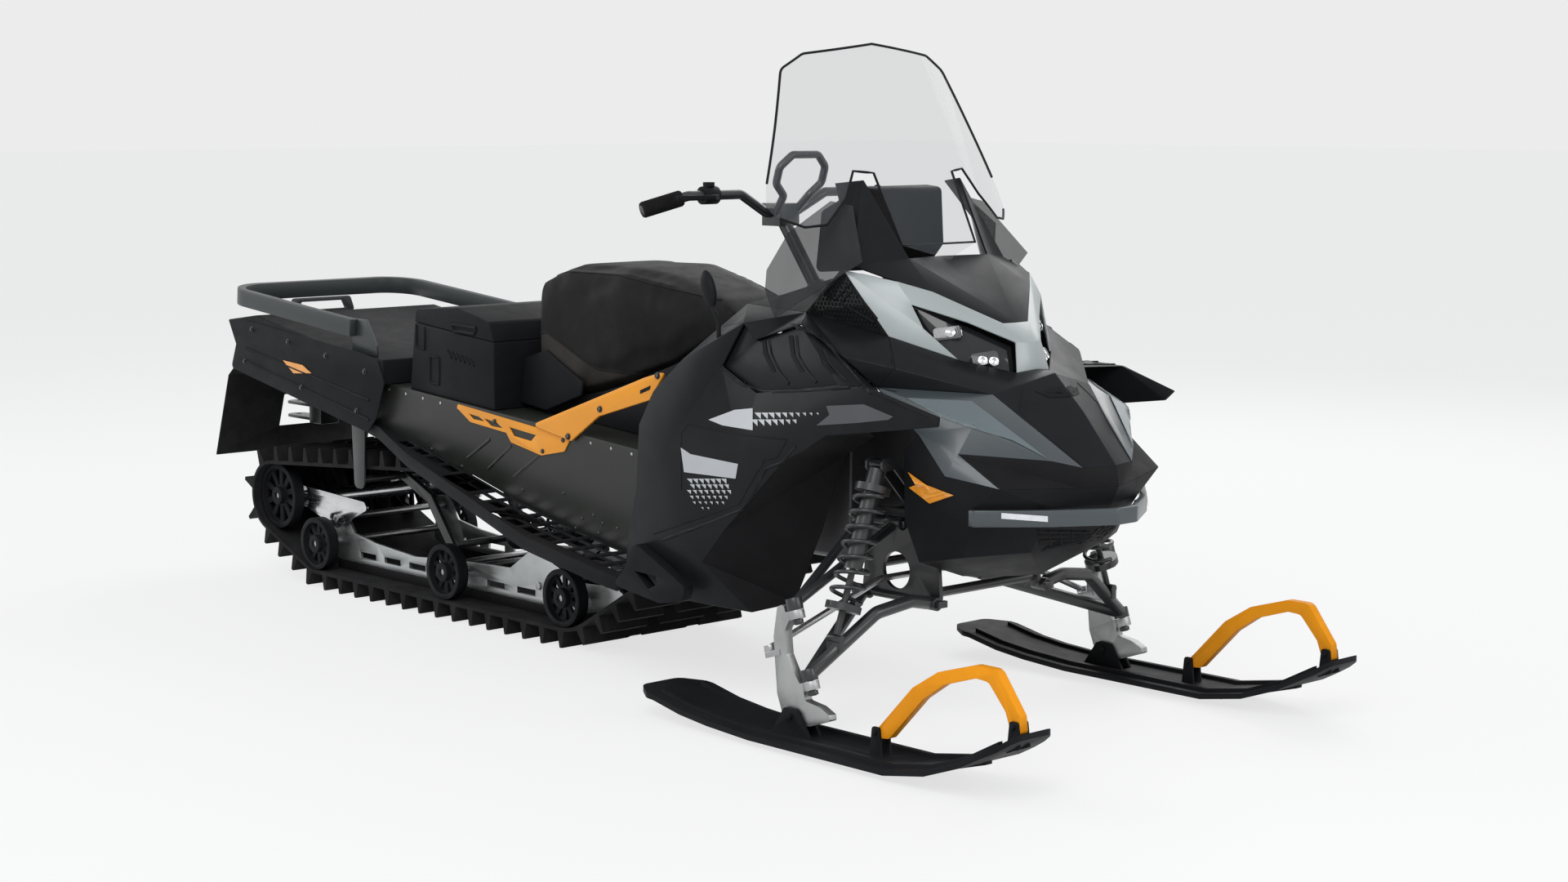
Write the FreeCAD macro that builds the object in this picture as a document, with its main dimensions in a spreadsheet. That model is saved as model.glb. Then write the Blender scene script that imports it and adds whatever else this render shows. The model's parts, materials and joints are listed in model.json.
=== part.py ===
import FreeCAD, Part
import math
import os
import Sketcher

# A utility snowmobile on a wide track: +X forward, +Y to the rider's left, +Z up, millimetres.
# The origin lies on the ground, below the middle of the machine.
os.makedirs("parts", exist_ok=True)
Vector = FreeCAD.Vector
Rotation = FreeCAD.Rotation
document = FreeCAD.newDocument("snowmobile")
sheet = document.addObject("Spreadsheet::Sheet", "sizes")


# Lengths and the sheet that holds them

class Length:
    """A length: its value in millimetres and the formula over the sheet that gives it."""

    def __init__(self, value, formula):
        self.value = float(value)
        self.formula = formula

    def __float__(self):
        return self.value

    def __add__(self, other):
        return Length(self.value + float(other), f"({self.formula} + {formula_of(other)})")

    def __radd__(self, other):
        return Length(float(other) + self.value, f"({formula_of(other)} + {self.formula})")

    def __sub__(self, other):
        return Length(self.value - float(other), f"({self.formula} - {formula_of(other)})")

    def __rsub__(self, other):
        return Length(float(other) - self.value, f"({formula_of(other)} - {self.formula})")

    def __mul__(self, share):
        return Length(self.value * share, f"({self.formula} * {share!r})")

    __rmul__ = __mul__

    def __truediv__(self, count):
        return Length(self.value / count, f"({self.formula} / {count!r})")

    def __neg__(self):
        return Length(-self.value, f"(0 - {self.formula})")


def formula_of(length):
    return length.formula if isinstance(length, Length) else repr(length)


class Sizes:
    """The named sizes, each in a cell of its own with an alias."""

    row = 0

    def add(self, named_sizes):
        for name, value in named_sizes.items():
            self.row += 1
            sheet.set(f"A{self.row}", name)
            sheet.set(f"B{self.row}", str(value))
            sheet.setAlias(f"B{self.row}", name)
            setattr(self, name, Length(value, f"sizes.{name}"))
        sheet.recompute()


s = Sizes()


# Ways of making a piece

def bind(thing, property_name, length):
    if isinstance(length, Length):
        thing.setExpression(property_name, length.formula)


def outline(start, reach, base, rise, shares, radius=None):
    """Corners of an outline, as shares of its reach and rise counted from its start and base.
    A third share rounds the corner with that share of the radius."""
    corners = []
    for share in shares:
        corner = [start + reach * share[0], base + rise * share[1]]
        if len(share) == 3:
            corner.append(radius * share[2])
        corners.append(tuple(corner))
    return corners


class Drawing:
    """The runs of a sketch and the ties that hold them to named sizes, handed over in one go."""

    def __init__(self):
        self.shapes = []
        self.aids = []
        self.ties = []
        self.formulas = []

    def add(self, shape, aid=False):
        self.shapes.append(shape)
        if aid:
            self.aids.append(len(self.shapes) - 1)
        return len(self.shapes) - 1

    def tie(self, *terms, length=None):
        if length is None:
            self.ties.append(Sketcher.Constraint(*terms))
            return
        self.formulas.append((len(self.ties), length))
        self.ties.append(Sketcher.Constraint(*terms, float(length)))

    def hold_point(self, geometry, end, across, up):
        """Ties a point to its two named sizes, or to an axis where the size is zero."""
        for kind, axis, length in (("DistanceX", -2, across), ("DistanceY", -1, up)):
            if isinstance(length, Length):
                self.tie(kind, -1, 1, geometry, end, length=length)
            else:
                self.tie("PointOnObject", geometry, end, axis)

    def loop(self, corners):
        """A closed loop of straight runs, with a tangent arc at each corner that has a radius."""
        count = len(corners)
        places = [Vector(float(corner[0]), float(corner[1]), 0) for corner in corners]
        entries = list(places)
        leaves = list(places)
        arcs = [None] * count
        for i, corner in enumerate(corners):
            if len(corner) < 3:
                continue
            back = (places[i - 1] - places[i]).normalize()
            ahead = (places[(i + 1) % count] - places[i]).normalize()
            half = math.acos(max(-1, min(1, back.dot(ahead)))) / 2
            radius = float(corner[2])
            entries[i] = places[i] + back * (radius / math.tan(half))
            leaves[i] = places[i] + ahead * (radius / math.tan(half))
            centre = places[i] + (back + ahead).normalize() * (radius / math.sin(half))
            turns_left = back.cross(ahead).z < 0
            ends = (entries[i], leaves[i]) if turns_left else (leaves[i], entries[i])
            angles = [math.atan2(end.y - centre.y, end.x - centre.x) for end in ends]
            arc = Part.ArcOfCircle(Part.Circle(centre, Vector(0, 0, 1), radius), *angles)
            arcs[i] = (self.add(arc), *((1, 2) if turns_left else (2, 1)))
        lines = [
            self.add(Part.LineSegment(leaves[i], entries[(i + 1) % count])) for i in range(count)
        ]
        for i, corner in enumerate(corners):
            before, after = lines[i - 1], lines[i]
            if arcs[i] is None:
                self.tie("Coincident", before, 2, after, 1)
                self.hold_point(after, 1, corner[0], corner[1])
                continue
            arc, entry_end, leave_end = arcs[i]
            point = self.add(Part.Point(places[i]), aid=True)
            self.tie("Tangent", before, 2, arc, entry_end)
            self.tie("Tangent", after, 1, arc, leave_end)
            self.tie("PointOnObject", point, 1, before)
            self.tie("PointOnObject", point, 1, after)
            self.tie("Radius", arc, length=corner[2])
            self.hold_point(point, 1, corner[0], corner[1])

    def circle(self, across, up, radius):
        centre = Vector(float(across), float(up), 0)
        ring = self.add(Part.Circle(centre, Vector(0, 0, 1), float(radius)))
        self.tie("Radius", ring, length=radius)
        self.hold_point(ring, 3, across, up)

    def put_in(self, sketch):
        sketch.addGeometry(self.shapes, False)
        for number in self.aids:
            sketch.toggleConstruction(number)
        sketch.addConstraint(self.ties)
        for number, length in self.formulas:
            bind(sketch, f"Constraints[{number}]", length)


def sketch_on(body, plane, start, loops=(), circles=()):
    sketch = body.newObject("Sketcher::SketchObject", body.Name + "_sketch")
    origin_plane = [item for item in body.Origin.OriginFeatures if item.Role == plane][0]
    sketch.AttachmentSupport = [(origin_plane, "")]
    sketch.MapMode = "FlatFace"
    bind(sketch, "AttachmentOffset.Base.z", start)
    drawing = Drawing()
    for corners in loops:
        drawing.loop(corners)
    for circle in circles:
        drawing.circle(*circle)
    drawing.put_in(sketch)
    return sketch


def plate(name, plane, start, thick, loops=(), circles=()):
    """A body padded from outlines. On XZ_Plane the start is counted to the right (-Y),
    on XY_Plane up, on YZ_Plane forward."""
    body = document.addObject("PartDesign::Body", name)
    document.recompute([body])
    pad = body.newObject("PartDesign::Pad", name + "_pad")
    pad.Profile = sketch_on(body, plane, start, loops, circles)
    bind(pad, "Length", thick)
    return body


def turned(name, loops, place, axis_of_turn="H_Axis", plane="XZ_Plane", start=0):
    """A body turned round a sketch axis, then set at its place."""
    body = document.addObject("PartDesign::Body", name)
    document.recompute([body])
    turn = body.newObject("PartDesign::Revolution", name + "_turn")
    sketch = sketch_on(body, plane, start, loops)
    turn.Profile = sketch
    turn.ReferenceAxis = (sketch, [axis_of_turn])
    turn.Angle = 360
    body.Placement = place
    return body


def box(name, low, size):
    piece = document.addObject("Part::Box", name)
    for property_name, length in zip(("Length", "Width", "Height"), size):
        bind(piece, property_name, length)
    for axis, length in zip("xyz", low):
        bind(piece, f"Placement.Base.{axis}", length)
    return piece


def place_at(point, rotation=None):
    return FreeCAD.Placement(spot(point), rotation or Rotation())


def spot(point):
    return Vector(*[float(length) for length in point])


def span(first, last):
    """The distance between two points."""
    square = " + ".join(f"({formula_of(b)} - {formula_of(a)})^2" for a, b in zip(first, last))
    return Length((spot(last) - spot(first)).Length, f"sqrt({square})")


def rod(name, ends, radius, bore=None):
    """A straight round rod between two points, or a tube with a bore."""
    first, last = spot(ends[0]), spot(ends[1])
    run = last - first
    cylinder = document.addObject("Part::Cylinder", name)
    bind(cylinder, "Radius", radius)
    bind(cylinder, "Height", span(*ends))
    cylinder.Placement = FreeCAD.Placement(first, Rotation(Vector(0, 0, 1), run))
    if bore is None:
        return cylinder
    core = document.addObject("Part::Cylinder", name + "_core")
    bind(core, "Radius", bore)
    bind(core, "Height", span(*ends))
    core.Placement = cylinder.Placement
    return cut(name + "_tube", cylinder, core)


def feature(name, shape):
    piece = document.addObject("Part::Feature", name)
    piece.Shape = shape
    return piece


def rounded_path(points, bend):
    """A wire through the points with a tangent arc of the bend radius at each turn."""
    spots = [spot(point) for point in points]
    edges = []
    here = spots[0]
    for before, corner, after in zip(spots, spots[1:], spots[2:]):
        back = (before - corner).normalize()
        ahead = (after - corner).normalize()
        half = math.acos(max(-1, min(1, back.dot(ahead)))) / 2
        run = float(bend) / math.tan(half)
        entry = corner + back * run
        leave = corner + ahead * run
        centre = corner + (back + ahead).normalize() * (float(bend) / math.sin(half))
        middle = centre + (corner - centre).normalize() * float(bend)
        edges.append(Part.LineSegment(here, entry).toShape())
        edges.append(Part.Arc(entry, middle, leave).toShape())
        here = leave
    edges.append(Part.LineSegment(here, spots[-1]).toShape())
    return Part.Wire(edges)


def bent_tube(name, points, radius, bend):
    path = rounded_path(points, bend)
    first, second = spot(points[0]), spot(points[1])
    ring = Part.Circle(first, second - first, float(radius))
    return feature(name, path.makePipeShell([Part.Wire([ring.toShape()])], True, False))


def mirrored(name, source):
    twin = document.addObject("Part::Mirroring", name)
    twin.Source = source
    twin.Normal = Vector(0, 1, 0)
    return twin


def group(name, pieces):
    """Several solids that don't touch, kept as one piece."""
    both = document.addObject("Part::Compound", name)
    both.Links = pieces
    return both


def pair(name, source):
    return group(name, [source, mirrored(name + "_left", source)])


def joined(name, pieces):
    whole = document.addObject("Part::MultiFuse", name)
    whole.Shapes = pieces
    return whole


def cut(name, base, tool):
    left = document.addObject("Part::Cut", name)
    left.Base = base
    left.Tool = tool
    return left


def common(name, pieces):
    shared = document.addObject("Part::MultiCommon", name)
    shared.Shapes = pieces
    return shared


nodes = {}


def node(label, piece):
    piece.Label = label
    nodes[label] = piece
    return piece


# Track: one fixed loop, tangent to its wheels, with lugs at equal steps

s.add({
    "fit_gap": 0.3,
    "track_wide": 500,
    "belt_thick": 9,
    "lug_tall": 40,
    "lug_base": 24,
    "lug_tip": 9,
    "lug_pitch": 73,
    "lug_column_wide": 138,
    "sprocket_ahead": 295,
    "sprocket_up": 345,
    "sprocket_radius": 90,
    "rear_idler_back": -1365,
    "rear_idler_up": 227,
    "rear_idler_radius": 89,
    "idler_radius": 70.5,
    "rear_wheel_back": -1159,
    "middle_wheel_back": -571,
    "front_wheel_back": -85,
    "nose_bend": 180,
})
ground_run = s.lug_tall + s.belt_thick
idler_up = ground_run + s.fit_gap + s.idler_radius


def belt_runs(wheels):
    """Curved and straight runs round the wheels, anticlockwise, with the wheels inside."""
    count = len(wheels)
    leaves = []
    for i, (x, z, radius) in enumerate(wheels):
        next_x, next_z, next_radius = wheels[(i + 1) % count]
        distance = math.hypot(next_x - x, next_z - z)
        heading = math.atan2(next_z - z, next_x - x)
        leaves.append(heading - math.acos((radius - next_radius) / distance))
    runs = []
    for i, (x, z, radius) in enumerate(wheels):
        next_x, next_z, next_radius = wheels[(i + 1) % count]
        sweep = (leaves[i] - leaves[i - 1]) % (2 * math.pi)
        runs.append(("round", (x, z, radius, leaves[i - 1]), sweep * radius))
        reach = math.sqrt((next_x - x) ** 2 + (next_z - z) ** 2 - (radius - next_radius) ** 2)
        runs.append(("straight", (x, z, radius, leaves[i]), reach))
    return runs


def belt_frame(runs, distance):
    """The place on the inner face of the belt at a distance along it, and the way out."""
    distance = distance % sum(run[2] for run in runs)
    for kind, (x, z, radius, angle), length in runs:
        if distance <= length:
            break
        distance -= length
    if kind == "round":
        angle += distance / radius
        distance = 0
    outward = Vector(math.cos(angle), 0, math.sin(angle))
    along = Vector(-math.sin(angle), 0, math.cos(angle))
    return Vector(x, 0, z) + outward * radius + along * distance, outward, along, kind


def belt_place(runs, distance, out):
    place, outward, along, kind = belt_frame(runs, distance)
    return place + outward * out


def belt_wire(runs, out, lug_places=()):
    """The belt's outline at a height over its inner face, with a tapered lug at each place."""
    whole = sum(run[2] for run in runs)
    half_base, half_tip = s.lug_base.value / 2, s.lug_tip.value / 2
    stations = []
    distance = 0
    for run in runs:
        if not any(abs(distance - lug) < half_base for lug in lug_places):
            stations.append((distance, "run"))
        distance += run[2]
    for lug in lug_places:
        stations.append((lug - half_base, "lug"))
        stations.append((lug + half_base, "run"))
    stations.sort()
    edges = []
    for i, (here, kind) in enumerate(stations):
        there = stations[(i + 1) % len(stations)][0]
        if there <= here:
            there += whole
        first = belt_place(runs, here, out)
        last = belt_place(runs, there, out)
        if kind == "lug":
            place, outward, along, _ = belt_frame(runs, (here + there) / 2)
            crown = place + outward * (out + s.lug_tall.value)
            corners = [first, crown - along * half_tip, crown + along * half_tip, last]
            edges += [Part.LineSegment(a, b).toShape() for a, b in zip(corners, corners[1:])]
        elif belt_frame(runs, (here + there) / 2)[3] == "round":
            edges.append(Part.Arc(first, belt_place(runs, (here + there) / 2, out), last).toShape())
        else:
            edges.append(Part.LineSegment(first, last).toShape())
    return Part.Wire(edges)


belt_wheels = [
    (s.rear_idler_back.value, s.rear_idler_up.value, s.rear_idler_radius.value + s.fit_gap.value),
    (s.rear_wheel_back.value, idler_up.value, s.idler_radius.value + s.fit_gap.value),
    (s.front_wheel_back.value, ground_run.value + s.nose_bend.value, s.nose_bend.value),
    (s.sprocket_ahead.value, s.sprocket_up.value, s.sprocket_radius.value + s.fit_gap.value),
]
track_runs = belt_runs(belt_wheels)
track_length = sum(run[2] for run in track_runs)
lug_count = round(track_length / s.lug_pitch.value)
lug_places = [track_length * (i + 0.5) / lug_count for i in range(lug_count)]
inner_wire = belt_wire(track_runs, 0)
plain_wire = belt_wire(track_runs, s.belt_thick.value)
lugged_wire = belt_wire(track_runs, s.belt_thick.value, lug_places)


def belt_band(outer_wire, start, wide):
    face = Part.makeFace([outer_wire, inner_wire], "Part::FaceMakerBullseye")
    return face.translated(Vector(0, start, 0)).extrude(Vector(0, wide, 0))


half_track = s.track_wide.value / 2
column = s.lug_column_wide.value
bare = (s.track_wide.value - 3 * column) / 2
bands = [
    belt_band(lugged_wire, -half_track, column),
    belt_band(plain_wire, -half_track + column, bare),
    belt_band(lugged_wire, -column / 2, column),
    belt_band(plain_wire, column / 2, bare),
    belt_band(lugged_wire, half_track - column, column),
]
node("track", feature("track_loop", bands[0].multiFuse(bands[1:]).removeSplitter()))


# Slide rails, their shoes and the shafts and wheels that they carry

s.add({
    "rail_rear": -1186,
    "rail_long": 1266,
    "rail_base": 73,
    "rail_rise": 142,
    "rail_apart": 170,
    "rail_thick": 8,
    "rail_window_long": 74,
    "rail_window_tall": 16,
    "rail_window_up": 88,
    "rail_corner": 14,
    "shoe_wide": 16,
    "shaft_radius": 9,
    "wheel_wide": 30,
    "idler_apart": 229,
    "rear_idler_apart": 214,
    "inner_idler_apart": 70,
    "hub_radius": 24,
    "hub_wide": 36,
    "web_thick": 7,
    "rim_deep": 13,
    "wheel_spokes": 10,
})
rail_shares = (
    (0.03, 0), (0.868, 0), (0.92, 0.09), (0.99, 0.47), (0.97, 0.56), (0.86, 0.51, 1), (0.76, 0.8, 1),
    (0.7, 0.88, 1), (0.637, 0.52, 1), (0.47, 0.45), (0.31, 0.35), (0.17, 0.44, 1), (0.088, 0.55, 1),
    (0.05, 1, 0.5), (0.01, 0.96, 0.5), (0, 0.1),
)
shoe_top_shares = ((0.03, 0), (0.868, 0), (0.92, 0.09))
window_shares = (0.11, 0.2, 0.29, 0.4, 0.56, 0.66, 0.78)
shaft_places = [
    (s.rear_wheel_back, idler_up), (s.middle_wheel_back, idler_up), (s.front_wheel_back, idler_up),
]
rear_axle = (s.rear_idler_back, s.rear_idler_up)
shaft_hole = s.shaft_radius + s.fit_gap


def rail_window(share):
    start = s.rail_rear + s.rail_long * share
    return [
        (start, s.rail_window_up), (start + s.rail_window_long, s.rail_window_up),
        (start + s.rail_window_long, s.rail_window_up + s.rail_window_tall),
        (start, s.rail_window_up + s.rail_window_tall),
    ]


rail_outline = outline(s.rail_rear, s.rail_long, s.rail_base, s.rail_rise, rail_shares, s.rail_corner)
arm_shaft_back = s.rail_rear + s.rail_long * 0.415
front_arm_shaft_back = s.rail_rear + s.rail_long * 0.73
arm_shaft_up = s.rail_base + s.rail_rise * 0.31
kick_pivot = (s.rail_rear + s.rail_long * 0.035, s.rail_base + s.rail_rise * 0.8)
rail_holes = [(x, z, shaft_hole) for x, z in shaft_places]
rail_holes += [(arm_shaft_back, arm_shaft_up, shaft_hole)]
rail_holes += [(front_arm_shaft_back, arm_shaft_up, shaft_hole)]
rail_holes += [(kick_pivot[0], kick_pivot[1], shaft_hole)]
rail = plate(
    "rail", "XZ_Plane", s.rail_apart - s.rail_thick / 2, s.rail_thick,
    [rail_outline] + [rail_window(share) for share in window_shares], rail_holes,
)
node("skid_rails", pair("rails", rail))

shoe_corners = outline(s.rail_rear, s.rail_long, s.rail_base, s.rail_rise, shoe_top_shares)
shoe_low = ground_run + s.fit_gap
shoe_corners = [
    (shoe_corners[0][0], shoe_low), (s.front_wheel_back, shoe_low),
    (shoe_corners[2][0], shoe_low + s.rail_rise * 0.09), shoe_corners[2], shoe_corners[1], shoe_corners[0],
]
shoe = plate("shoe", "XZ_Plane", s.rail_apart - s.shoe_wide / 2, s.shoe_wide, [shoe_corners])
node("slide_shoes", pair("shoes", shoe))


def cross_shaft(name, place, half_wide):
    x, z = place
    return rod(name, ((x, -half_wide, z), (x, half_wide, z)), s.shaft_radius)


wheel_reach = s.idler_apart + s.wheel_wide / 2
rear_reach = s.rear_idler_apart + s.wheel_wide / 2
arm_reach = s.rail_apart + s.rail_thick
shafts = [cross_shaft(f"wheel_shaft_{i}", place, wheel_reach) for i, place in enumerate(shaft_places)]
shafts.append(cross_shaft("rear_axle_shaft", rear_axle, rear_reach))
shafts.append(cross_shaft("arm_shaft", (arm_shaft_back, arm_shaft_up), arm_reach))
shafts.append(cross_shaft("front_arm_shaft", (front_arm_shaft_back, arm_shaft_up), arm_reach))
shafts.append(cross_shaft("kick_pin", kick_pivot, s.rail_apart + s.rail_thick * 2.5))
node("skid_cross_shafts", group("skid_shafts", shafts))


def spoked_wheel(name, radius, place):
    """A moulded wheel: rim, thin web with windows between spokes, and a hub on its shaft."""
    half = s.wheel_wide / 2
    half_web = s.web_thick / 2
    half_hub = s.hub_wide / 2
    rim_inside = radius - s.rim_deep
    profile = [
        (shaft_hole, -half_hub), (s.hub_radius, -half_hub), (s.hub_radius, -half_web),
        (rim_inside, -half_web), (rim_inside, -half), (radius, -half), (radius, half),
        (rim_inside, half), (rim_inside, half_web), (s.hub_radius, half_web),
        (s.hub_radius, half_hub), (shaft_hole, half_hub),
    ]
    wheel = turned(name, [profile], FreeCAD.Placement(), "V_Axis", "XY_Plane")
    windows = []
    count = int(s.wheel_spokes.value)
    near, far = s.hub_radius.value * 1.25, rim_inside.value * 0.96
    for i in range(count):
        narrow, broad = 0.3 * math.pi / count, 0.62 * math.pi / count
        middle = 2 * math.pi * i / count
        corners = []
        for reach, spread in ((near, -narrow), (far, -broad), (far, broad), (near, narrow)):
            angle = middle + spread
            corners.append(Vector(reach * math.cos(angle), -half.value, reach * math.sin(angle)))
        window = Part.Face(Part.makePolygon(corners + corners[:1]))
        windows.append(window.extrude(Vector(0, s.wheel_wide.value, 0)))
    openings = feature(name + "_windows", Part.makeCompound(windows))
    whole = cut(name + "_wheel", wheel, openings)
    whole.Placement = place_at(place)
    return whole


idlers = []
for i, (x, z) in enumerate(shaft_places):
    idlers.append(spoked_wheel(f"idler_{i}", s.idler_radius, (x, -s.idler_apart, z)))
for name, apart in (("outer", s.rear_idler_apart), ("inner", s.inner_idler_apart)):
    idlers.append(spoked_wheel(f"rear_idler_{name}", s.rear_idler_radius,
        (rear_axle[0], -apart, rear_axle[1])))
idlers += [mirrored(wheel.Name + "_left", wheel) for wheel in idlers]
node("idler_wheels", group("idlers", idlers))


# Arms and dampers of the skid, and the drive axle

s.add({
    "tunnel_rear": -1450,
    "tunnel_long": 1870,
    "tunnel_rear_top": 637,
    "tunnel_base": 240,
    "tunnel_rise": 397,
    "tunnel_half_wide": 270,
    "sheet": 3,
    "kick_rear": -1400,
    "kick_long": 420,
    "kick_base": 195,
    "kick_rise": 65,
    "kick_apart": 183,
    "kick_thick": 7,
    "kick_tube_radius": 20,
    "kick_tube_bore": 17,
    "arm_thick": 12,
    "arm_apart": 118,
    "front_arm_apart": 96,
    "arm_half_tall": 14,
    "rear_arm_pivot_back": -905,
    "rear_arm_pivot_up": 322,
    "front_arm_pivot_ahead": 20,
    "front_arm_pivot_up": 330,
    "hanger_thick": 4,
    "damper_radius": 19,
    "damper_rod_radius": 7,
    "spring_radius": 33,
    "spring_wire": 4.5,
    "spring_turns": 7,
    "axle_radius": 14,
    "sprocket_apart": 80,
    "sprocket_wide": 36,
})
kick_shares = (
    (0, 0.26, 1), (0, 0.72, 1), (0.25, 0.97, 1), (0.95, 0.77, 0.5), (0.99, 0.48, 0.5), (0.63, -0.55, 0.8),
    (0.28, 0.1, 1),
)
kick_corner = s.kick_rise * 0.3
kick_outline = outline(s.kick_rear, s.kick_long, s.kick_base, s.kick_rise, kick_shares, kick_corner)
kick_holes = [(rear_axle[0], rear_axle[1], shaft_hole), (kick_pivot[0], kick_pivot[1], shaft_hole)]
kick_arm = plate("kick_arm", "XZ_Plane", s.kick_apart, s.kick_thick, [kick_outline], kick_holes)
kick_tube_back = s.kick_rear + s.kick_long * 0.36
kick_tube_up = s.kick_base + s.kick_rise * 0.5
kick_tube_ends = [(kick_tube_back, side * s.kick_apart, kick_tube_up) for side in (-1, 1)]
kick_tube = rod("kick_tube", kick_tube_ends, s.kick_tube_radius, s.kick_tube_bore)
node("rear_axle_arm", joined("kick_frame", [kick_arm, mirrored("kick_arm_left", kick_arm), kick_tube]))


def flat_arm(name, start, places, ends_holes, half_tall, thick):
    """A flat bar along places of the side view, with a bore at each end."""
    corners = []
    spots = [Vector(float(x), 0, float(z)) for x, z in places]
    for side, order in ((1, range(len(places))), (-1, reversed(range(len(places))))):
        for i in order:
            ahead = spots[min(i + 1, len(spots) - 1)] - spots[max(i - 1, 0)]
            ahead.normalize()
            reach = ahead if i == len(spots) - 1 else (-ahead if i == 0 else Vector())
            off = Vector(-ahead.z, 0, ahead.x) * side + reach
            x, z = places[i]
            corners.append((x + half_tall * off.x, z + half_tall * off.z, half_tall * 0.6))
    return plate(name, "XZ_Plane", start, thick, [corners], [(x, z, shaft_hole) for x, z in ends_holes])


rear_arm_pivot = (s.rear_arm_pivot_back, s.rear_arm_pivot_up)
rear_arm_foot = (arm_shaft_back, arm_shaft_up)
rear_arm_bend = (rear_arm_pivot[0] * 0.52 + rear_arm_foot[0] * 0.48,
    rear_arm_pivot[1] * 0.76 + rear_arm_foot[1] * 0.24)
front_arm_pivot = (s.front_arm_pivot_ahead, s.front_arm_pivot_up)
front_arm_foot = (front_arm_shaft_back, arm_shaft_up)
rear_arm = flat_arm(
    "rear_arm", s.arm_apart, [rear_arm_pivot, rear_arm_bend, rear_arm_foot],
    [rear_arm_pivot, rear_arm_foot], s.arm_half_tall, s.arm_thick,
)
front_arm = flat_arm(
    "front_arm", s.front_arm_apart, [front_arm_pivot, front_arm_foot],
    [front_arm_pivot, front_arm_foot], s.arm_half_tall, s.arm_thick,
)
damper_pin_share = 0.27
damper_pin = tuple(a + (b - a) * damper_pin_share for a, b in zip(rear_arm_foot, rear_arm_bend))
arm_bar = cross_shaft("arm_bar", damper_pin, s.arm_apart + s.arm_thick * 0.5)
rear_arms = joined("rear_arms", [rear_arm, mirrored("rear_arm_left", rear_arm), arm_bar])
node("skid_arms", group("arms", [rear_arms, front_arm, mirrored("front_arm_left", front_arm)]))
hanger_out = s.tunnel_half_wide - s.sheet - s.fit_gap
pivot_half = hanger_out - s.hanger_thick
arm_pivots = [
    cross_shaft("rear_arm_pivot_shaft", rear_arm_pivot, pivot_half),
    cross_shaft("front_arm_pivot_shaft", front_arm_pivot, pivot_half),
]


def damper_assembly(name, top, foot):
    """Body and rod joined, and a coil spring held between two seats."""
    run = spot(foot) - spot(top)
    share = (s.shaft_radius.value + s.fit_gap.value) / run.Length
    upper_share, lower_share = 0.16, 0.8
    at = [tuple(a + (b - a) * k for a, b in zip(top, foot)) for k in (share, 0.6, 0.55, 1 - share)]
    seats = [tuple(a + (b - a) * k for a, b in zip(top, foot))
             for k in (upper_share - 0.04, upper_share, lower_share, lower_share + 0.04)]
    pieces = [
        rod(name + "_body", at[:2], s.damper_radius), rod(name + "_rod", at[2:], s.damper_rod_radius),
        rod(name + "_upper_seat", seats[:2], s.spring_radius + s.spring_wire),
        rod(name + "_lower_seat", seats[2:], s.spring_radius + s.spring_wire),
    ]
    wire = s.spring_wire.value + s.fit_gap.value
    tall = run.Length * (lower_share - upper_share) - wire * 2
    pitch = tall / s.spring_turns.value
    helix = Part.makeHelix(pitch, tall, s.spring_radius.value)
    start = Vector(s.spring_radius.value, 0, 0)
    section = Part.Wire([Part.Circle(start, Vector(0, 1, 0), s.spring_wire.value).toShape()])
    coil = Part.Wire(helix).makePipeShell([section], True, True)
    spring = feature(name + "_spring", coil)
    base = spot(top) + run * upper_share + run * (wire / run.Length)
    spring.Placement = FreeCAD.Placement(base, Rotation(Vector(0, 0, 1), run))
    return group(name, [joined(name + "_strut", pieces), spring])


skid_damper = damper_assembly(
    "rear_damper", (front_arm_pivot[0], 0, front_arm_pivot[1]), (damper_pin[0], 0, damper_pin[1]),
)
node("skid_damper", skid_damper)

axle_ends = [(s.sprocket_ahead, side * pivot_half, s.sprocket_up) for side in (-1, 1)]
axle = rod("axle", axle_ends, s.axle_radius)
sprockets = []
for i, side in enumerate((-1, 1)):
    middle = side * s.sprocket_apart
    ends = [(s.sprocket_ahead, middle + half * s.sprocket_wide, s.sprocket_up) for half in (-0.5, 0.5)]
    sprockets.append(rod(f"sprocket_{i}", ends, s.sprocket_radius))
node("drive_axle", joined("axle_and_sprockets", [axle] + sprockets))


# Tunnel: a folded sheet over the track, and the hangers of the skid inside it

tunnel_slope_share = -0.0733


def tunnel_top(x):
    """Height of the tunnel's top face at a place along it."""
    return s.tunnel_rear_top + (x - s.tunnel_rear) * tunnel_slope_share


tunnel_front = s.tunnel_rear + s.tunnel_long
side_shares = (
    (1, 0), (0.968, 0), (0.922, 0.055), (0.868, 0.083), (0.822, 0.11), (0.658, 0.265),
    (0.535, 0.407), (0.338, 0.615), (0, 0.88),
)
side_low = outline(s.tunnel_rear, s.tunnel_long, s.tunnel_base, s.tunnel_rise, side_shares)
tunnel_side = plate(
    "tunnel_side", "XZ_Plane", s.tunnel_half_wide - s.sheet, s.sheet,
    [[(s.tunnel_rear, s.tunnel_rear_top), (tunnel_front, tunnel_top(tunnel_front))] + side_low],
)
tunnel_roof = plate(
    "tunnel_roof", "XZ_Plane", -s.tunnel_half_wide, s.tunnel_half_wide * 2,
    [[
        (s.tunnel_rear, s.tunnel_rear_top), (tunnel_front, tunnel_top(tunnel_front)),
        (tunnel_front, tunnel_top(tunnel_front) - s.sheet), (s.tunnel_rear, s.tunnel_rear_top - s.sheet),
    ]],
)
node("tunnel", joined("tunnel_sheet", [tunnel_side, mirrored("tunnel_side_left", tunnel_side), tunnel_roof]))

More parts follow.
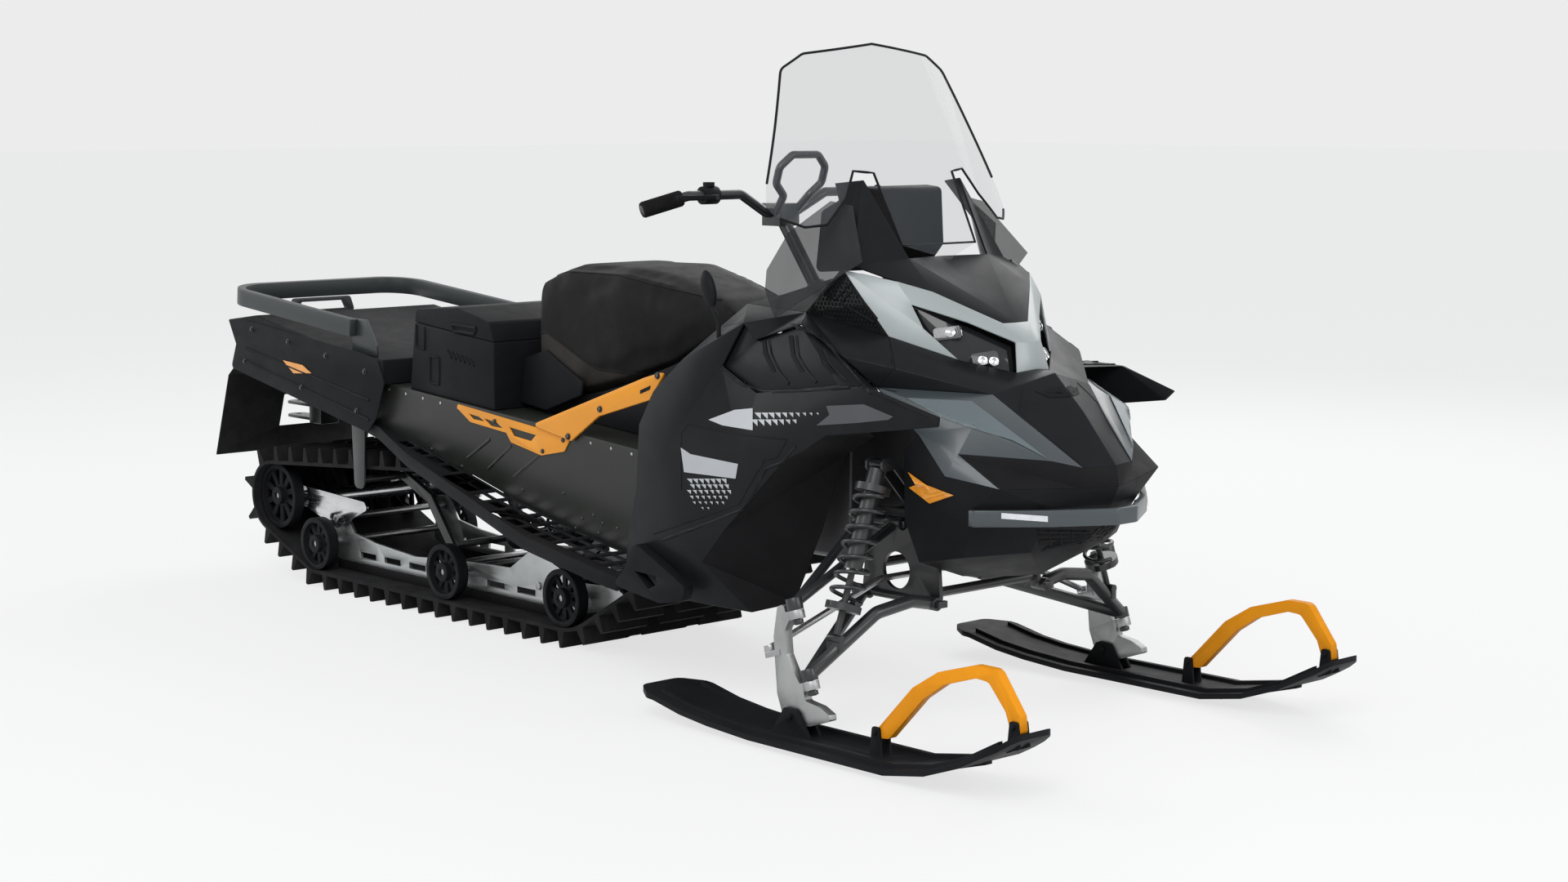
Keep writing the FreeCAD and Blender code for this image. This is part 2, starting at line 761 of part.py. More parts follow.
hangers = []
for name, (x, z) in (("rear", rear_arm_pivot), ("front", front_arm_pivot),
    ("axle", (s.sprocket_ahead, s.sprocket_up))):
    half = s.arm_half_tall * 1.6
    upper = tunnel_top(x) - s.sheet - s.fit_gap - half * 0.5
    corners = [(x - half, z - half, half * 0.8), (x + half, z - half, half * 0.8), (x + half * 1.6, upper),
        (x - half * 1.6, upper)]
    hanger = plate(name + "_hanger", "XZ_Plane", pivot_half, s.hanger_thick, [corners])
    hangers += [hanger, mirrored(name + "_hanger_left", hanger)]
node("suspension_hangers", joined("hangers", hangers + arm_pivots))


# Running boards: a perforated sheet that follows the track, with a folded outer lip

s.add({
    "board_rear": -829,
    "board_long": 1188,
    "board_low": 253,
    "board_rise": 235,
    "board_thick": 4,
    "board_wide": 160,
    "lip_tall": 32,
    "lip_thick": 5,
    "slot_long": 46,
    "slot_wide": 30,
    "slot_step": 62,
    "slot_rows": 3,
    "toe_rear": 350,
    "toe_long": 251,
    "toe_low": 217,
    "toe_rise": 121,
    "toe_thick": 26,
    "toe_corner": 10,
})
board_inner = s.tunnel_half_wide + s.fit_gap
board_shares = ((0, 1), (0.214, 0.762), (0.483, 0.426), (0.71, 0.209), (0.929, 0.038), (1, 0))
board_plan_shares = ((0, 0.12), (0.05, 0.14), (0.214, 0.47), (0.483, 0.66), (0.71, 0.97), (1, 1))
board_top = outline(s.board_rear, s.board_long, s.board_low, s.board_rise, board_shares)
board_edge = outline(s.board_rear, s.board_long, -board_inner, -s.board_wide, board_plan_shares)


def ribbon(name, top, tall, start, wide):
    """A strip of even height below a line of the side view."""
    under = [(x, z - tall) for x, z in reversed(top)]
    return plate(name, "XZ_Plane", start, wide, [top + under])


board_cut_tall = s.board_rise * 1.6
board_base = s.board_low - s.board_rise * 0.3
board_front = s.board_rear + s.board_long
plan_loop = [(board_front, -board_inner), (s.board_rear, -board_inner)] + board_edge
board_plan = plate("board_plan", "XY_Plane", board_base, board_cut_tall, [plan_loop])
board_sheet = common("board_sheet",
    [ribbon("board_ribbon", board_top, s.board_thick, board_inner, s.board_wide), board_plan])
lip_inner = [(x, y + s.lip_thick) for x, y in reversed(board_edge)]
lip_plan = plate("lip_plan", "XY_Plane", board_base, board_cut_tall, [board_edge + lip_inner])
lip = common("board_lip", [ribbon("lip_ribbon", board_top, s.lip_tall, board_inner,
    s.board_wide + s.lip_thick), lip_plan])
slots = []
slot_count = int((s.board_long.value - s.slot_step.value) / s.slot_step.value)
for i in range(slot_count):
    x = s.board_rear + s.slot_step * (i + 0.7)
    share = (i + 0.7) * s.slot_step.value / s.board_long.value
    reach = s.board_wide.value * (0.19 + 0.81 * min(1, share / 0.71)) - s.lip_thick.value * 2
    rows = min(int(s.slot_rows.value), int(reach / (s.slot_wide.value * 1.3)))
    for row in range(rows):
        y = -(board_inner + s.slot_wide * (0.35 + 1.35 * row)) - s.slot_wide
        slots.append(box(f"slot_{i}_{row}", (x, y, board_base), (s.slot_long, s.slot_wide, board_cut_tall)))
board = cut("board_with_slots", joined("board_and_lip", [board_sheet, lip]), group("slots", slots))

toe_shares = ((0.29, 0.95), (0.343, 1, 1), (1, 0.38, 1), (0.956, 0.11, 1), (0.65, 0), (0, 0.165, 1),
    (0.159, 0.44))
toe_window_shares = ((0.61, 0.48), (0.63, 0.34), (0.51, 0.215), (0.32, 0.5))
toe_outline = outline(s.toe_rear, s.toe_long, s.toe_low, s.toe_rise, toe_shares, s.toe_corner)
toe_window = outline(s.toe_rear, s.toe_long, s.toe_low, s.toe_rise, toe_window_shares)
toe_start = board_inner + s.board_wide - s.toe_thick + s.lip_thick * 1.5
toe_guard = plate("toe_guard", "XZ_Plane", toe_start, s.toe_thick, [toe_outline, toe_window])
node("running_boards", pair("boards", joined("board_and_toe_guard", [board, toe_guard])))


# Tunnel tail: side panels, deck, rack and hitch

s.add({
    "tail_rear": -1473,
    "tail_long": 740,
    "tail_low": 458,
    "tail_rise": 260,
    "tail_half_wide": 300,
    "tail_thick": 4,
    "tail_corner": 12,
    "deck_rear": -1490,
    "deck_long": 745,
    "deck_rise": 728,
    "rack_half_wide": 302,
    "rack_wide": 22,
    "rack_tall": 45,
    "rack_rear": -1513,
    "rack_front": -884,
    "rack_front_top": 746,
    "rack_corner": 112,
    "rack_slope": 5.3,
    "post_thick": 6,
    "bracket_wide": 220,
    "bracket_thick": 8,
})
tail_shares = (
    (0, 0.46, 1), (0.046, 0.773, 1), (0.107, 0.98, 1), (0.853, 0.79, 1), (0.964, 0.738, 1),
    (1, 0.508, 1), (0.95, 0.16, 1), (0.893, 0, 1),
)
tail_outline = outline(s.tail_rear, s.tail_long, s.tail_low, s.tail_rise, tail_shares, s.tail_corner)
tail_panel = plate("tail_panel", "XZ_Plane", s.tail_half_wide - s.tail_thick, s.tail_thick, [tail_outline])
node("tail_panels", pair("tail_pair", tail_panel))

deck_front = s.deck_rear + s.deck_long
deck_shares = ((0, 0.974), (0.188, 1), (0.77, 0.905), (1, 0.893))
deck_line = outline(s.deck_rear, s.deck_long, 0, s.deck_rise, deck_shares)
deck_outline = [(s.tunnel_rear, s.tunnel_rear_top)] + deck_line + [(deck_front, tunnel_top(deck_front))]
deck_half = s.tail_half_wide - s.tail_thick
deck = plate("deck", "XZ_Plane", -deck_half, deck_half * 2, [deck_outline])
node("rear_deck", deck)

rack_inner = s.rack_half_wide - s.rack_wide
rack_bend = s.rack_corner - s.rack_wide
rack_plan = [
    (s.rack_front, -s.rack_half_wide), (s.rack_front, -rack_inner),
    (s.rack_rear + s.rack_wide, -rack_inner, rack_bend), (s.rack_rear + s.rack_wide, rack_inner, rack_bend),
    (s.rack_front, rack_inner), (s.rack_front, s.rack_half_wide),
    (s.rack_rear, s.rack_half_wide, s.rack_corner), (s.rack_rear, -s.rack_half_wide, s.rack_corner),
]
rack = plate("rack", "XY_Plane", 0, s.rack_tall, [[(x - s.rack_front, *rest) for x, *rest in rack_plan]])
rack_low = s.rack_front_top - s.rack_tall
rack_turn = Rotation(Vector(0, 1, 0), s.rack_slope.value)
rack.Placement = FreeCAD.Placement(spot((s.rack_front, 0, rack_low)), rack_turn)

post_shares = (0.06, 0.72)
(post_rear, post_low), (post_front, post_low_ahead) = (
    tuple(a + (b - a) * share for a, b in zip(deck_line[2], deck_line[3])) for share in post_shares
)
post_long = post_front - post_rear
post_outline = [
    (post_rear, post_low + s.fit_gap), (post_front, post_low_ahead + s.fit_gap),
    (post_front, post_low + s.rack_tall * 0.5), (s.rack_front + post_long * 0.4, s.rack_front_top),
    (post_rear, s.rack_front_top),
]
front_post = plate("front_post", "XZ_Plane", rack_inner - s.post_thick - s.fit_gap, s.post_thick,
    [post_outline])


def rack_under(x):
    """Height of the rack rail's lower face at a place along it."""
    slope = math.tan(math.radians(s.rack_slope.value))
    return rack_low + (s.rack_front - x) * slope


bracket_back = s.rack_rear + s.rack_wide * 1.3
bracket_low = deck_line[0][1] + (deck_line[1][1] - deck_line[0][1]) * 0.1 + s.fit_gap
bracket_top = rack_under(bracket_back)
bracket_half = s.bracket_wide / 2
bracket_shares = ((-1, 0, 1), (1, 0, 1), (0.86, 1, 1), (-0.86, 1, 1))
bracket_window_shares = ((-0.7, 0.25), (0.7, 0.25), (0.6, 0.75), (-0.6, 0.75))
bracket_rise = bracket_top - bracket_low - s.fit_gap
rear_bracket = plate(
    "rear_bracket", "YZ_Plane", bracket_back, s.bracket_thick,
    [
        outline(0, bracket_half, bracket_low, bracket_rise, bracket_shares, s.toe_corner),
        outline(0, bracket_half, bracket_low, bracket_rise, bracket_window_shares),
    ],
)
node("rack_rail", group("rack_and_posts",
    [rack, front_post, mirrored("front_post_left", front_post), rear_bracket]))

s.add({
    "flap_half_wide": 252,
    "flap_thick": 6,
    "flap_foot_back": -1648,
    "flap_foot_up": 315,
    "hitch_rear": -1640,
    "hitch_up": 430,
    "hitch_wide": 60,
    "hitch_thick": 8,
    "hitch_gap": 30,
    "hitch_bore": 8,
    "lamp_wide": 360,
    "lamp_deep": 20,
})
lamp_seat_shares = (0.42, 0.9)
flap_top_back = s.tunnel_rear - s.fit_gap - s.flap_thick
flap_bend = (
    flap_top_back * 0.5 + s.flap_foot_back * 0.5 - s.flap_thick * 3,
    s.tunnel_rear_top * 0.72 + s.flap_foot_up * 0.28,
)
flap_line = [(flap_top_back, s.tunnel_rear_top), flap_bend, (s.flap_foot_back, s.flap_foot_up)]
flap_outline = flap_line + [(x + s.flap_thick, z) for x, z in reversed(flap_line)]
flap = plate("flap", "XZ_Plane", -s.flap_half_wide, s.flap_half_wide * 2, [flap_outline])
flap_window = box(
    "flap_window",
    (s.flap_foot_back - s.hitch_wide, -s.hitch_wide, s.hitch_up - s.hitch_gap - s.hitch_thick * 2),
    (s.hitch_wide * 4, s.hitch_wide * 2, s.hitch_gap * 2 + s.hitch_thick * 4),
)
node("snow_flap", cut("flap_with_window", flap, flap_window))

hitch_front = s.tunnel_rear - s.hitch_wide
tongues = []
for name, low in (("lower", s.hitch_up - s.hitch_gap / 2 - s.hitch_thick),
    ("upper", s.hitch_up + s.hitch_gap / 2)):
    half = s.hitch_wide / 2
    tongue_outline = [
        (s.hitch_rear, -half, half * 0.9), (hitch_front, -half), (hitch_front, half),
            (s.hitch_rear, half, half * 0.9),
    ]
    bore = (s.hitch_rear + half, 0, s.hitch_bore)
    tongues.append(plate(f"{name}_tongue", "XY_Plane", low, s.hitch_thick, [tongue_outline], [bore]))
hitch_block = box(
    "hitch_block", (hitch_front, -s.hitch_wide / 2, s.hitch_up - s.hitch_gap),
    (s.hitch_wide, s.hitch_wide, s.hitch_gap * 2),
)
hitch_post_outline = [
    (hitch_front, s.hitch_up + s.hitch_gap), (hitch_front + s.hitch_wide, s.hitch_up + s.hitch_gap),
    (s.tunnel_rear + s.hitch_wide, tunnel_top(s.tunnel_rear + s.hitch_wide) - s.sheet - s.fit_gap),
    (s.tunnel_rear + s.fit_gap, tunnel_top(s.tunnel_rear) - s.sheet - s.fit_gap),
]
hitch_post = plate("hitch_post", "XZ_Plane", -s.hitch_wide / 2, s.hitch_wide, [hitch_post_outline])
node("hitch", joined("hitch_whole", tongues + [hitch_block, hitch_post]))

lamp_rest = [
    (s.tunnel_rear * (1 - share) + s.deck_rear * share - s.fit_gap,
        s.tunnel_rear_top * (1 - share) + deck_line[0][1] * share)
    for share in lamp_seat_shares
]
tail_lamp = plate(
    "tail_lamp_lens", "XZ_Plane", -s.lamp_wide / 2, s.lamp_wide,
    [lamp_rest + [(x - s.lamp_deep, z) for x, z in reversed(lamp_rest)]],
)
node("tail_lamp", tail_lamp)


# Cargo box behind the seat, with its lid hinged on the left edge

s.add({
    "box_rear": -672,
    "box_long": 356,
    "box_rise": 194,
    "box_half_wide": 262,
    "box_wall": 6,
    "box_floor": 8,
    "lid_rise": 62,
    "lid_gap": 1,
    "lid_corner": 14,
    "seat_rear": -300,
    "seat_long": 725,
    "seat_low": 600,
    "seat_rise": 313,
    "seat_half_wide": 178,
    "seat_corner": 46,
    "seat_gap": 0.5,
    "base_half_wide": 150,
    "base_long": 730,
    "cover_long": 251,
    "cover_low": 558,
    "cover_rise": 148,
    "cover_thick": 8,
    "cover_corner": 8,
    "brace_rear": -146,
    "brace_long": 500,
    "brace_low": 512,
    "brace_rise": 200,
    "brace_thick": 8,
    "trim_rear": -486,
    "trim_long": 486,
    "trim_low": 465,
    "trim_rise": 102,
    "trim_thick": 3,
    "trim_corner": 6,
})
box_front = s.box_rear + s.box_long
rim_start_share = 0.068
box_rim_rear = tunnel_top(s.box_rear) + s.box_rise * 0.88
box_rim_front = box_rim_rear - s.box_rise * 0.155
box_floor_rear = tunnel_top(s.box_rear) + s.fit_gap
box_floor_front = tunnel_top(box_front) + s.fit_gap
box_outline = [
    (s.box_rear, box_floor_rear), (s.box_rear + s.box_long * rim_start_share, box_rim_rear),
    (box_front, box_rim_front), (box_front, box_floor_front),
]
room_outline = [
    (s.box_rear + s.box_wall * 2, box_floor_rear + s.box_floor),
    (s.box_rear + s.box_wall * 5, box_rim_rear + s.box_rise * 0.1),
    (box_front - s.box_wall, box_rim_rear + s.box_rise * 0.1),
    (box_front - s.box_wall, box_floor_rear + s.box_floor),
]
box_shell = plate("box_shell", "XZ_Plane", -s.box_half_wide, s.box_half_wide * 2, [box_outline])
room_half = s.box_half_wide - s.box_wall
box_room = plate("box_room", "XZ_Plane", -room_half, room_half * 2, [room_outline])
node("cargo_box", cut("box_hollow", box_shell, box_room))

lid_shares = ((0.07, 0), (0.085, 0.55, 1), (0.58, 1, 1), (0.95, 0.75, 1), (1, 0))
lid_inner_shares = ((0.1, -0.2), (0.115, 0.42), (0.57, 0.84), (0.92, 0.6), (0.97, -0.6))


def over_rim(shares, rise, corner=None):
    """Corners over the box's sloping rim, at shares of its length and of the lid's rise."""
    corners = []
    for share in shares:
        along = (share[0] - rim_start_share) / (1 - rim_start_share)
        level = box_rim_rear * (1 - along) + box_rim_front * along + s.lid_gap
        point = [s.box_rear + s.box_long * share[0], level + rise * share[1]]
        corners.append(tuple(point + ([corner * share[2]] if len(share) == 3 else [])))
    return corners


lid_body = plate(
    "lid_body", "XZ_Plane", -s.box_half_wide, s.box_half_wide * 2,
        [over_rim(lid_shares, s.lid_rise, s.lid_corner)],
)
lid_room = plate("lid_room", "XZ_Plane", -room_half, room_half * 2, [over_rim(lid_inner_shares, s.lid_rise)])
node("cargo_lid", cut("lid_hollow", lid_body, lid_room))


# Seat and what carries it

seat_shares = (
    (0, 0.5, 0.6), (0.012, 0.246, 0.3), (0.115, 0.105), (0.245, 0), (0.376, 0.06), (0.51, 0.144),
    (0.71, 0.304), (0.985, 0.67, 0.5), (0.93, 0.77, 0.4), (0.68, 0.933, 1), (0.515, 1, 1), (0.21, 1, 1),
    (0.04, 0.86, 1),
)
seat_outline = outline(s.seat_rear, s.seat_long, s.seat_low, s.seat_rise, seat_shares, s.seat_corner)
seat_slab = plate("seat_slab", "XZ_Plane", -s.seat_half_wide, s.seat_half_wide * 2, [seat_outline])
seat_plan_shares = ((0, -0.9, 1), (0.12, -1, 1), (0.5, -0.98), (1, -0.56, 0.4), (1, 0.56, 0.4), (0.5, 0.98),
    (0.12, 1, 1), (0, 0.9, 1))
seat_plan = plate(
    "seat_plan", "XY_Plane", s.seat_low - s.seat_rise * 0.1, s.seat_rise * 1.2,
    [outline(s.seat_rear, s.seat_long, 0, s.seat_half_wide, seat_plan_shares, s.seat_corner)],
)
node("seat_cushion", common("seat_block", [seat_slab, seat_plan]))

seat_under = [(x, z - s.seat_gap * 2) for x, z, *_ in seat_outline[1:8]]
base_front = s.seat_rear + s.base_long
base_line = [(x, z) for x, z in seat_under]
base_outline = [(s.seat_rear, tunnel_top(s.seat_rear) + s.fit_gap), (s.seat_rear, base_line[0][1])]
base_outline += base_line[1:6] + [(base_front, base_line[6][1] - s.seat_rise * 0.1),
    (base_front, tunnel_top(base_front) + s.fit_gap)]
seat_base = plate("seat_foundation", "XZ_Plane", -s.base_half_wide, s.base_half_wide * 2, [base_outline])
node("seat_base", seat_base)

cover_shares = ((0.104, 0.83, 1), (0.43, 1, 1), (1, 0.54, 1), (0.97, 0.32, 1), (0.42, 0, 1), (0, 0.08, 1))
cover_rear = box_front + s.fit_gap * 2
cover_outline = outline(cover_rear, s.cover_long, s.cover_low, s.cover_rise, cover_shares, s.cover_corner)
cover_start = s.seat_half_wide + s.seat_gap
cover = plate("seat_cover", "XZ_Plane", cover_start, s.cover_thick, [cover_outline])
cover_peg = plate("cover_peg", "XZ_Plane", s.base_half_wide, cover_start - s.base_half_wide, circles=[
    (cover_rear + s.cover_long * 0.42, s.cover_low + s.cover_rise * 0.3, s.cover_corner),
])
node("seat_side_covers", pair("covers", joined("cover_with_peg", [cover, cover_peg])))

brace_shares = ((0, 0.12, 1), (0.31, 0, 1), (0.516, 0.335, 1), (0.884, 0.6, 1), (1, 0.95, 1),
    (0.856, 0.855, 1))
brace_outline = outline(s.brace_rear, s.brace_long, s.brace_low, s.brace_rise, brace_shares, s.trim_corner)
trim_start = s.tunnel_half_wide + s.fit_gap
brace_start = trim_start + s.trim_thick + s.fit_gap
brace = plate("frame_brace", "XZ_Plane", brace_start, s.brace_thick, [brace_outline])
node("frame_braces", pair("braces", brace))

trim_shares = (
    (0, 1, 1), (0.072, 0.93, 1), (0.996, 0.52, 1), (0.944, 0.176, 1), (0.761, 0, 1), (0.516, 0.2, 1),
    (0.477, 0.41), (0.175, 0.54),
)
trim_window_shares = (
    ((0.16, 0.74), (0.25, 0.7), (0.3, 0.6), (0.2, 0.62)),
    ((0.29, 0.68), (0.4, 0.62), (0.45, 0.5), (0.35, 0.52)),
    ((0.5, 0.56), (0.72, 0.46), (0.68, 0.3), (0.54, 0.36)),
)
trim_loops = [outline(s.trim_rear, s.trim_long, s.trim_low, s.trim_rise, trim_shares, s.trim_corner)]
trim_loops += [outline(s.trim_rear, s.trim_long, s.trim_low, s.trim_rise,
    shares) for shares in trim_window_shares]
trim = plate("tunnel_trim", "XZ_Plane", trim_start, s.trim_thick, trim_loops)
node("tunnel_trims", pair("trims", trim))


# Front suspension: arms, dampers, knuckles and tie rods

s.add({
    "ski_stance": 486,
    "kingpin_top_ahead": 1000,
    "kingpin_top_up": 290,
    "kingpin_low_ahead": 1044,
    "kingpin_low_up": 150,
    "kingpin_radius": 7,
    "upper_inner_ahead": 1000,
    "upper_rear_ahead": 900,
    "upper_inner_side": 195,
    "upper_inner_up": 425,
    "upper_arm_radius": 10,
    "lower_inner_side": 172,
    "lower_inner_up": 262,
    "lower_front_ahead": 1080,
    "lower_rear_ahead": 880,
    "lower_arm_radius": 14,
    "lower_bend": 40,
    "joint_radius": 17,
    "joint_tall": 24,
    "knuckle_thick": 20,
    "knuckle_gap": 1,
    "front_damper_top_side": 300,
    "front_damper_top_up": 563,
    "front_damper_foot_side": 424,
    "front_damper_ahead": 1052,
    "frame_tube": 13,
    "engine_rear": 600,
    "engine_long": 258,
    "engine_half_wide": 190,
    "engine_low": 330,
    "engine_tall": 310,
})


def right(x, side, z):
    return (x, -side, z)


upper_ball = right(s.kingpin_top_ahead, s.ski_stance, s.kingpin_top_up)
lower_ball = right(s.kingpin_low_ahead, s.ski_stance, s.kingpin_low_up)
kingpin_run = spot(upper_ball) - spot(lower_ball)
kingpin_way = Vector(kingpin_run)
kingpin_way.normalize()


def along_kingpin(ball, distance):
    """A point on the kingpin's line, a distance above a ball joint."""
    return tuple(place + way * distance for place, way in zip(ball, kingpin_way))


def kingpin_rod(name, low, high, radius, bore=None):
    """A rod along the kingpin, between two heights over the lower ball."""
    return rod(name, (along_kingpin(lower_ball, low), along_kingpin(lower_ball, high)), radius, bore)


ball_apart = kingpin_run.Length
lug_tall = s.joint_tall.value * 0.75
half_joint = s.joint_tall.value / 2
gap = s.knuckle_gap.value


def ball_joint(name, height):
    """An arm's joint housing, its stud down through the knuckle's boss, and the nut below."""
    low = height - half_joint - gap - lug_tall
    housing = kingpin_rod(name + "_housing", height - half_joint, height + half_joint, s.joint_radius)
    stud = kingpin_rod(name + "_stud", low - half_joint, height, s.kingpin_radius)
    nut = kingpin_rod(name + "_nut", low - gap - half_joint * 0.8, low - gap, s.kingpin_radius * 1.6)
    return [housing, stud, nut]


def pivot_sleeve(name, centre, half_long):
    """A sleeve that an arm turns in, round a pivot that lies along the machine."""
    x, y, z = centre
    return rod(name, ((x - half_long, y, z), (x + half_long, y, z)), s.kingpin_radius * 2,
        s.kingpin_radius + s.fit_gap)


sleeve_half = s.joint_radius * 1.2
upper_front = right(s.upper_inner_ahead, s.upper_inner_side, s.upper_inner_up)
upper_rear = right(s.upper_rear_ahead, s.upper_inner_side, s.upper_inner_up)
lower_front = right(s.lower_front_ahead, s.lower_inner_side, s.lower_inner_up)
lower_rear = right(s.lower_rear_ahead, s.lower_inner_side, s.lower_inner_up)


def leg(name, inner, outer, radius, through=(), bend=None):
    """An arm's tube from just outside its sleeve to the middle of its ball joint."""
    points = [inner, *through, outer]
    run = spot(points[1]) - spot(points[0])
    share = s.kingpin_radius.value * 2 / run.Length
    points[0] = tuple(a + (b - a) * share for a, b in zip(points[0], points[1]))
    if not through:
        return rod(name, points, radius)
    return bent_tube(name, points, radius, bend)


upper_legs = [
    leg("upper_leg_front", upper_front, upper_ball, s.upper_arm_radius),
    leg("upper_leg_rear", upper_rear, upper_ball, s.upper_arm_radius),
]
upper_arm = joined("upper_arm", upper_legs + ball_joint("upper_joint", ball_apart) + [
    pivot_sleeve("upper_sleeve_front", upper_front, sleeve_half),
    pivot_sleeve("upper_sleeve_rear", upper_rear, sleeve_half),
])

lower_reach = s.ski_stance - s.lower_inner_side
lower_knee = right(s.lower_front_ahead + s.lower_arm_radius * 0.4, s.lower_inner_side + lower_reach * 0.2,
    s.lower_inner_up + s.lower_arm_radius)
lower_elbow = right(s.lower_front_ahead - s.lower_arm_radius * 0.2, s.lower_inner_side + lower_reach * 0.5,
    s.lower_inner_up)
damper_foot = right(s.front_damper_ahead + s.damper_radius * 0.2, s.front_damper_foot_side,
    s.lower_inner_up * 0.83)
damper_top = right(s.front_damper_ahead, s.front_damper_top_side, s.front_damper_top_up)


def pin_along(name, centre, half_long, radius):
    x, y, z = centre
    return rod(name, ((x - half_long, y, z), (x + half_long, y, z)), radius)


foot_x, foot_y, foot_z = damper_foot
foot_block = box(
    "damper_foot_block", (foot_x - s.damper_radius, foot_y - s.shaft_radius * 0.8,
        foot_z - s.lower_arm_radius * 1.7),
    (s.damper_radius * 2, s.shaft_radius * 1.6, s.lower_arm_radius * 1.5),
)
lower_arm = joined("lower_arm", [
    leg("lower_leg_front", lower_front, lower_ball, s.lower_arm_radius, [lower_knee, lower_elbow],
        s.lower_bend),
    leg("lower_leg_rear", lower_rear, lower_ball, s.lower_arm_radius),
    pivot_sleeve("lower_sleeve_front", lower_front, sleeve_half),
    pivot_sleeve("lower_sleeve_rear", lower_rear, sleeve_half),
    pin_along("damper_foot_pin", damper_foot, s.damper_radius, s.shaft_radius), foot_block,
] + ball_joint("lower_joint", 0))
node("suspension_arms", group("arm_pairs",
    [pair("upper_arm_pair", upper_arm), pair("lower_arm_pair", lower_arm)]))
node("front_dampers", pair("front_damper_pair", damper_assembly("front_damper", damper_top, damper_foot)))

knuckle_shares = (
    (-0.16, 1.03, 1), (-0.15, 0.914), (0.03, 0.914), (0.03, 0.79), (-0.11, 0.79, 0.5), (-0.23, 0.68, 2),
    (-0.3, 0.34, 2), (-0.23, 0.07, 2), (-0.16, -0.09), (0.03, -0.09), (0.03, -0.21), (-0.11, -0.21),
    (-0.12, -0.34, 1), (0.14, -0.46, 1), (0.3, -0.6, 0.6), (0.29, -0.68, 0.6), (-0.12, -0.695),
    (-0.57, -0.63, 2), (-0.64, -0.4, 1), (-0.66, -0.16, 2), (-0.57, 0.27), (-0.49, 0.63, 2), (-0.29, 1.02, 1),
)
kingpin_length = span(lower_ball, upper_ball)
knuckle_corner = s.kingpin_radius
ski_bolt_reach = kingpin_length * -0.42
ski_bolt_drop = kingpin_length * -0.497
ear_back = kingpin_length * -0.685
ear_up = kingpin_length * 0.44
ear_thick = s.joint_tall * 0.5
bolt_bore = s.kingpin_radius + s.fit_gap


def knuckle(side):
    """The cast spindle: two bosses on the kingpin, a spine behind them, the steering ear and
    the foot that the ski's bolt goes through."""
    word = "right" if side < 0 else "left"
    spine = plate(
        f"spine_{word}", "XZ_Plane", -s.knuckle_thick / 2, s.knuckle_thick,
        [outline(0, kingpin_length, 0, kingpin_length, knuckle_shares, knuckle_corner)],
        [(ski_bolt_reach, ski_bolt_drop, bolt_bore)],
    )
    ear_half = s.joint_radius * 0.75
    ear = plate(
        f"ear_{word}", "XY_Plane", ear_up - ear_thick, ear_thick,
        [[(ear_back - ear_half, -ear_half, ear_half * 0.9), (kingpin_length * -0.42, -ear_half),
          (kingpin_length * -0.42, ear_half), (ear_back - ear_half, ear_half, ear_half * 0.9)]],
    )
    pieces = [spine, ear]
    for name, height in (("upper", ball_apart), ("lower", 0)):
        top = height - half_joint - gap
        pieces.append(rod(f"{name}_boss_{word}", ((0, 0, top - lug_tall), (0, 0, top)), s.joint_radius))
    bores = []
    for name, height in (("upper", ball_apart), ("lower", 0)):
        top = height - half_joint
        bores.append(rod(f"{name}_bore_{word}", ((0, 0, top - lug_tall - gap * 2), (0, 0, top)), bolt_bore))
    whole = cut(f"knuckle_cast_{word}", joined(f"knuckle_solid_{word}", pieces),
        group(f"bores_{word}", bores))
    place = spot((lower_ball[0], lower_ball[1] * -side, lower_ball[2]))
    whole.Placement = FreeCAD.Placement(place, Rotation(Vector(0, 0, 1), kingpin_way))
    return node(f"knuckle_{word}", whole)


knuckle(-1)
knuckle(1)


# Skis: blade with its keel, the saddle on the knuckle's bolt, and the looped handle

s.add({
    "ski_rear": 575,
    "ski_long": 1080,
    "ski_rise": 141,
    "ski_wide": 170,
    "ski_thick": 12,
    "ski_keel_wide": 18,
    "ski_corner": 30,
    "rib_tall": 14,
    "rib_wide": 12,
    "rib_apart": 56,
    "saddle_long": 120,
    "saddle_thick": 7,
    "saddle_bend": 12,
    "handle_rear": 1230,
    "handle_long": 400,
    "handle_low": 56,
    "handle_rise": 189,
    "handle_thick": 22,
    "handle_wide": 20,
    "handle_bolt_radius": 5,
    "handle_ear_thick": 5,
    "handle_ear_half": 17,
})
ski_shares = (
    (0, 0.355), (0.07, 0.32), (0.15, 0.2), (0.23, 0.135), (0.347, 0.085), (0.708, 0.085),
    (0.81, 0.22), (0.894, 0.45), (0.968, 0.75), (1, 0.915),
)
ski_plan_shares = ((0, -0.6, 1), (0.05, -1, 1), (0.93, -1, 2), (1, -0.62, 1), (1, 0.62, 1), (0.93, 1, 2),
    (0.05, 1, 1), (0, 0.6, 1))
bolt_x = s.kingpin_low_ahead + ski_bolt_reach.value * kingpin_way.z + ski_bolt_drop.value * kingpin_way.x
bolt_z = s.kingpin_low_up - ski_bolt_reach.value * kingpin_way.x + ski_bolt_drop.value * kingpin_way.z
handle_shares = (
    (0, 0, 0.4), (0.29, 0.63, 1), (0.46, 0.85, 1), (0.7, 1, 1), (0.84, 1, 1),
    (0.99, 0.58, 0.5), (1, 0.4, 0.3), (0.94, 0.38, 0.3), (0.9, 0.6, 0.6), (0.79, 0.86, 0.8),
    (0.71, 0.87, 1), (0.5, 0.73, 1), (0.36, 0.53, 1), (0.13, 0.03, 0.5),
)

handle_foot_shares = (((0.05, 0.08), (0.05, 0.06)), ((0.963, 0.47), (0.6, 0.7)))


def lower_line(shares, lift):
    return [(x, z + lift) for x, z in outline(s.ski_rear, s.ski_long, 0, s.ski_rise, shares)]


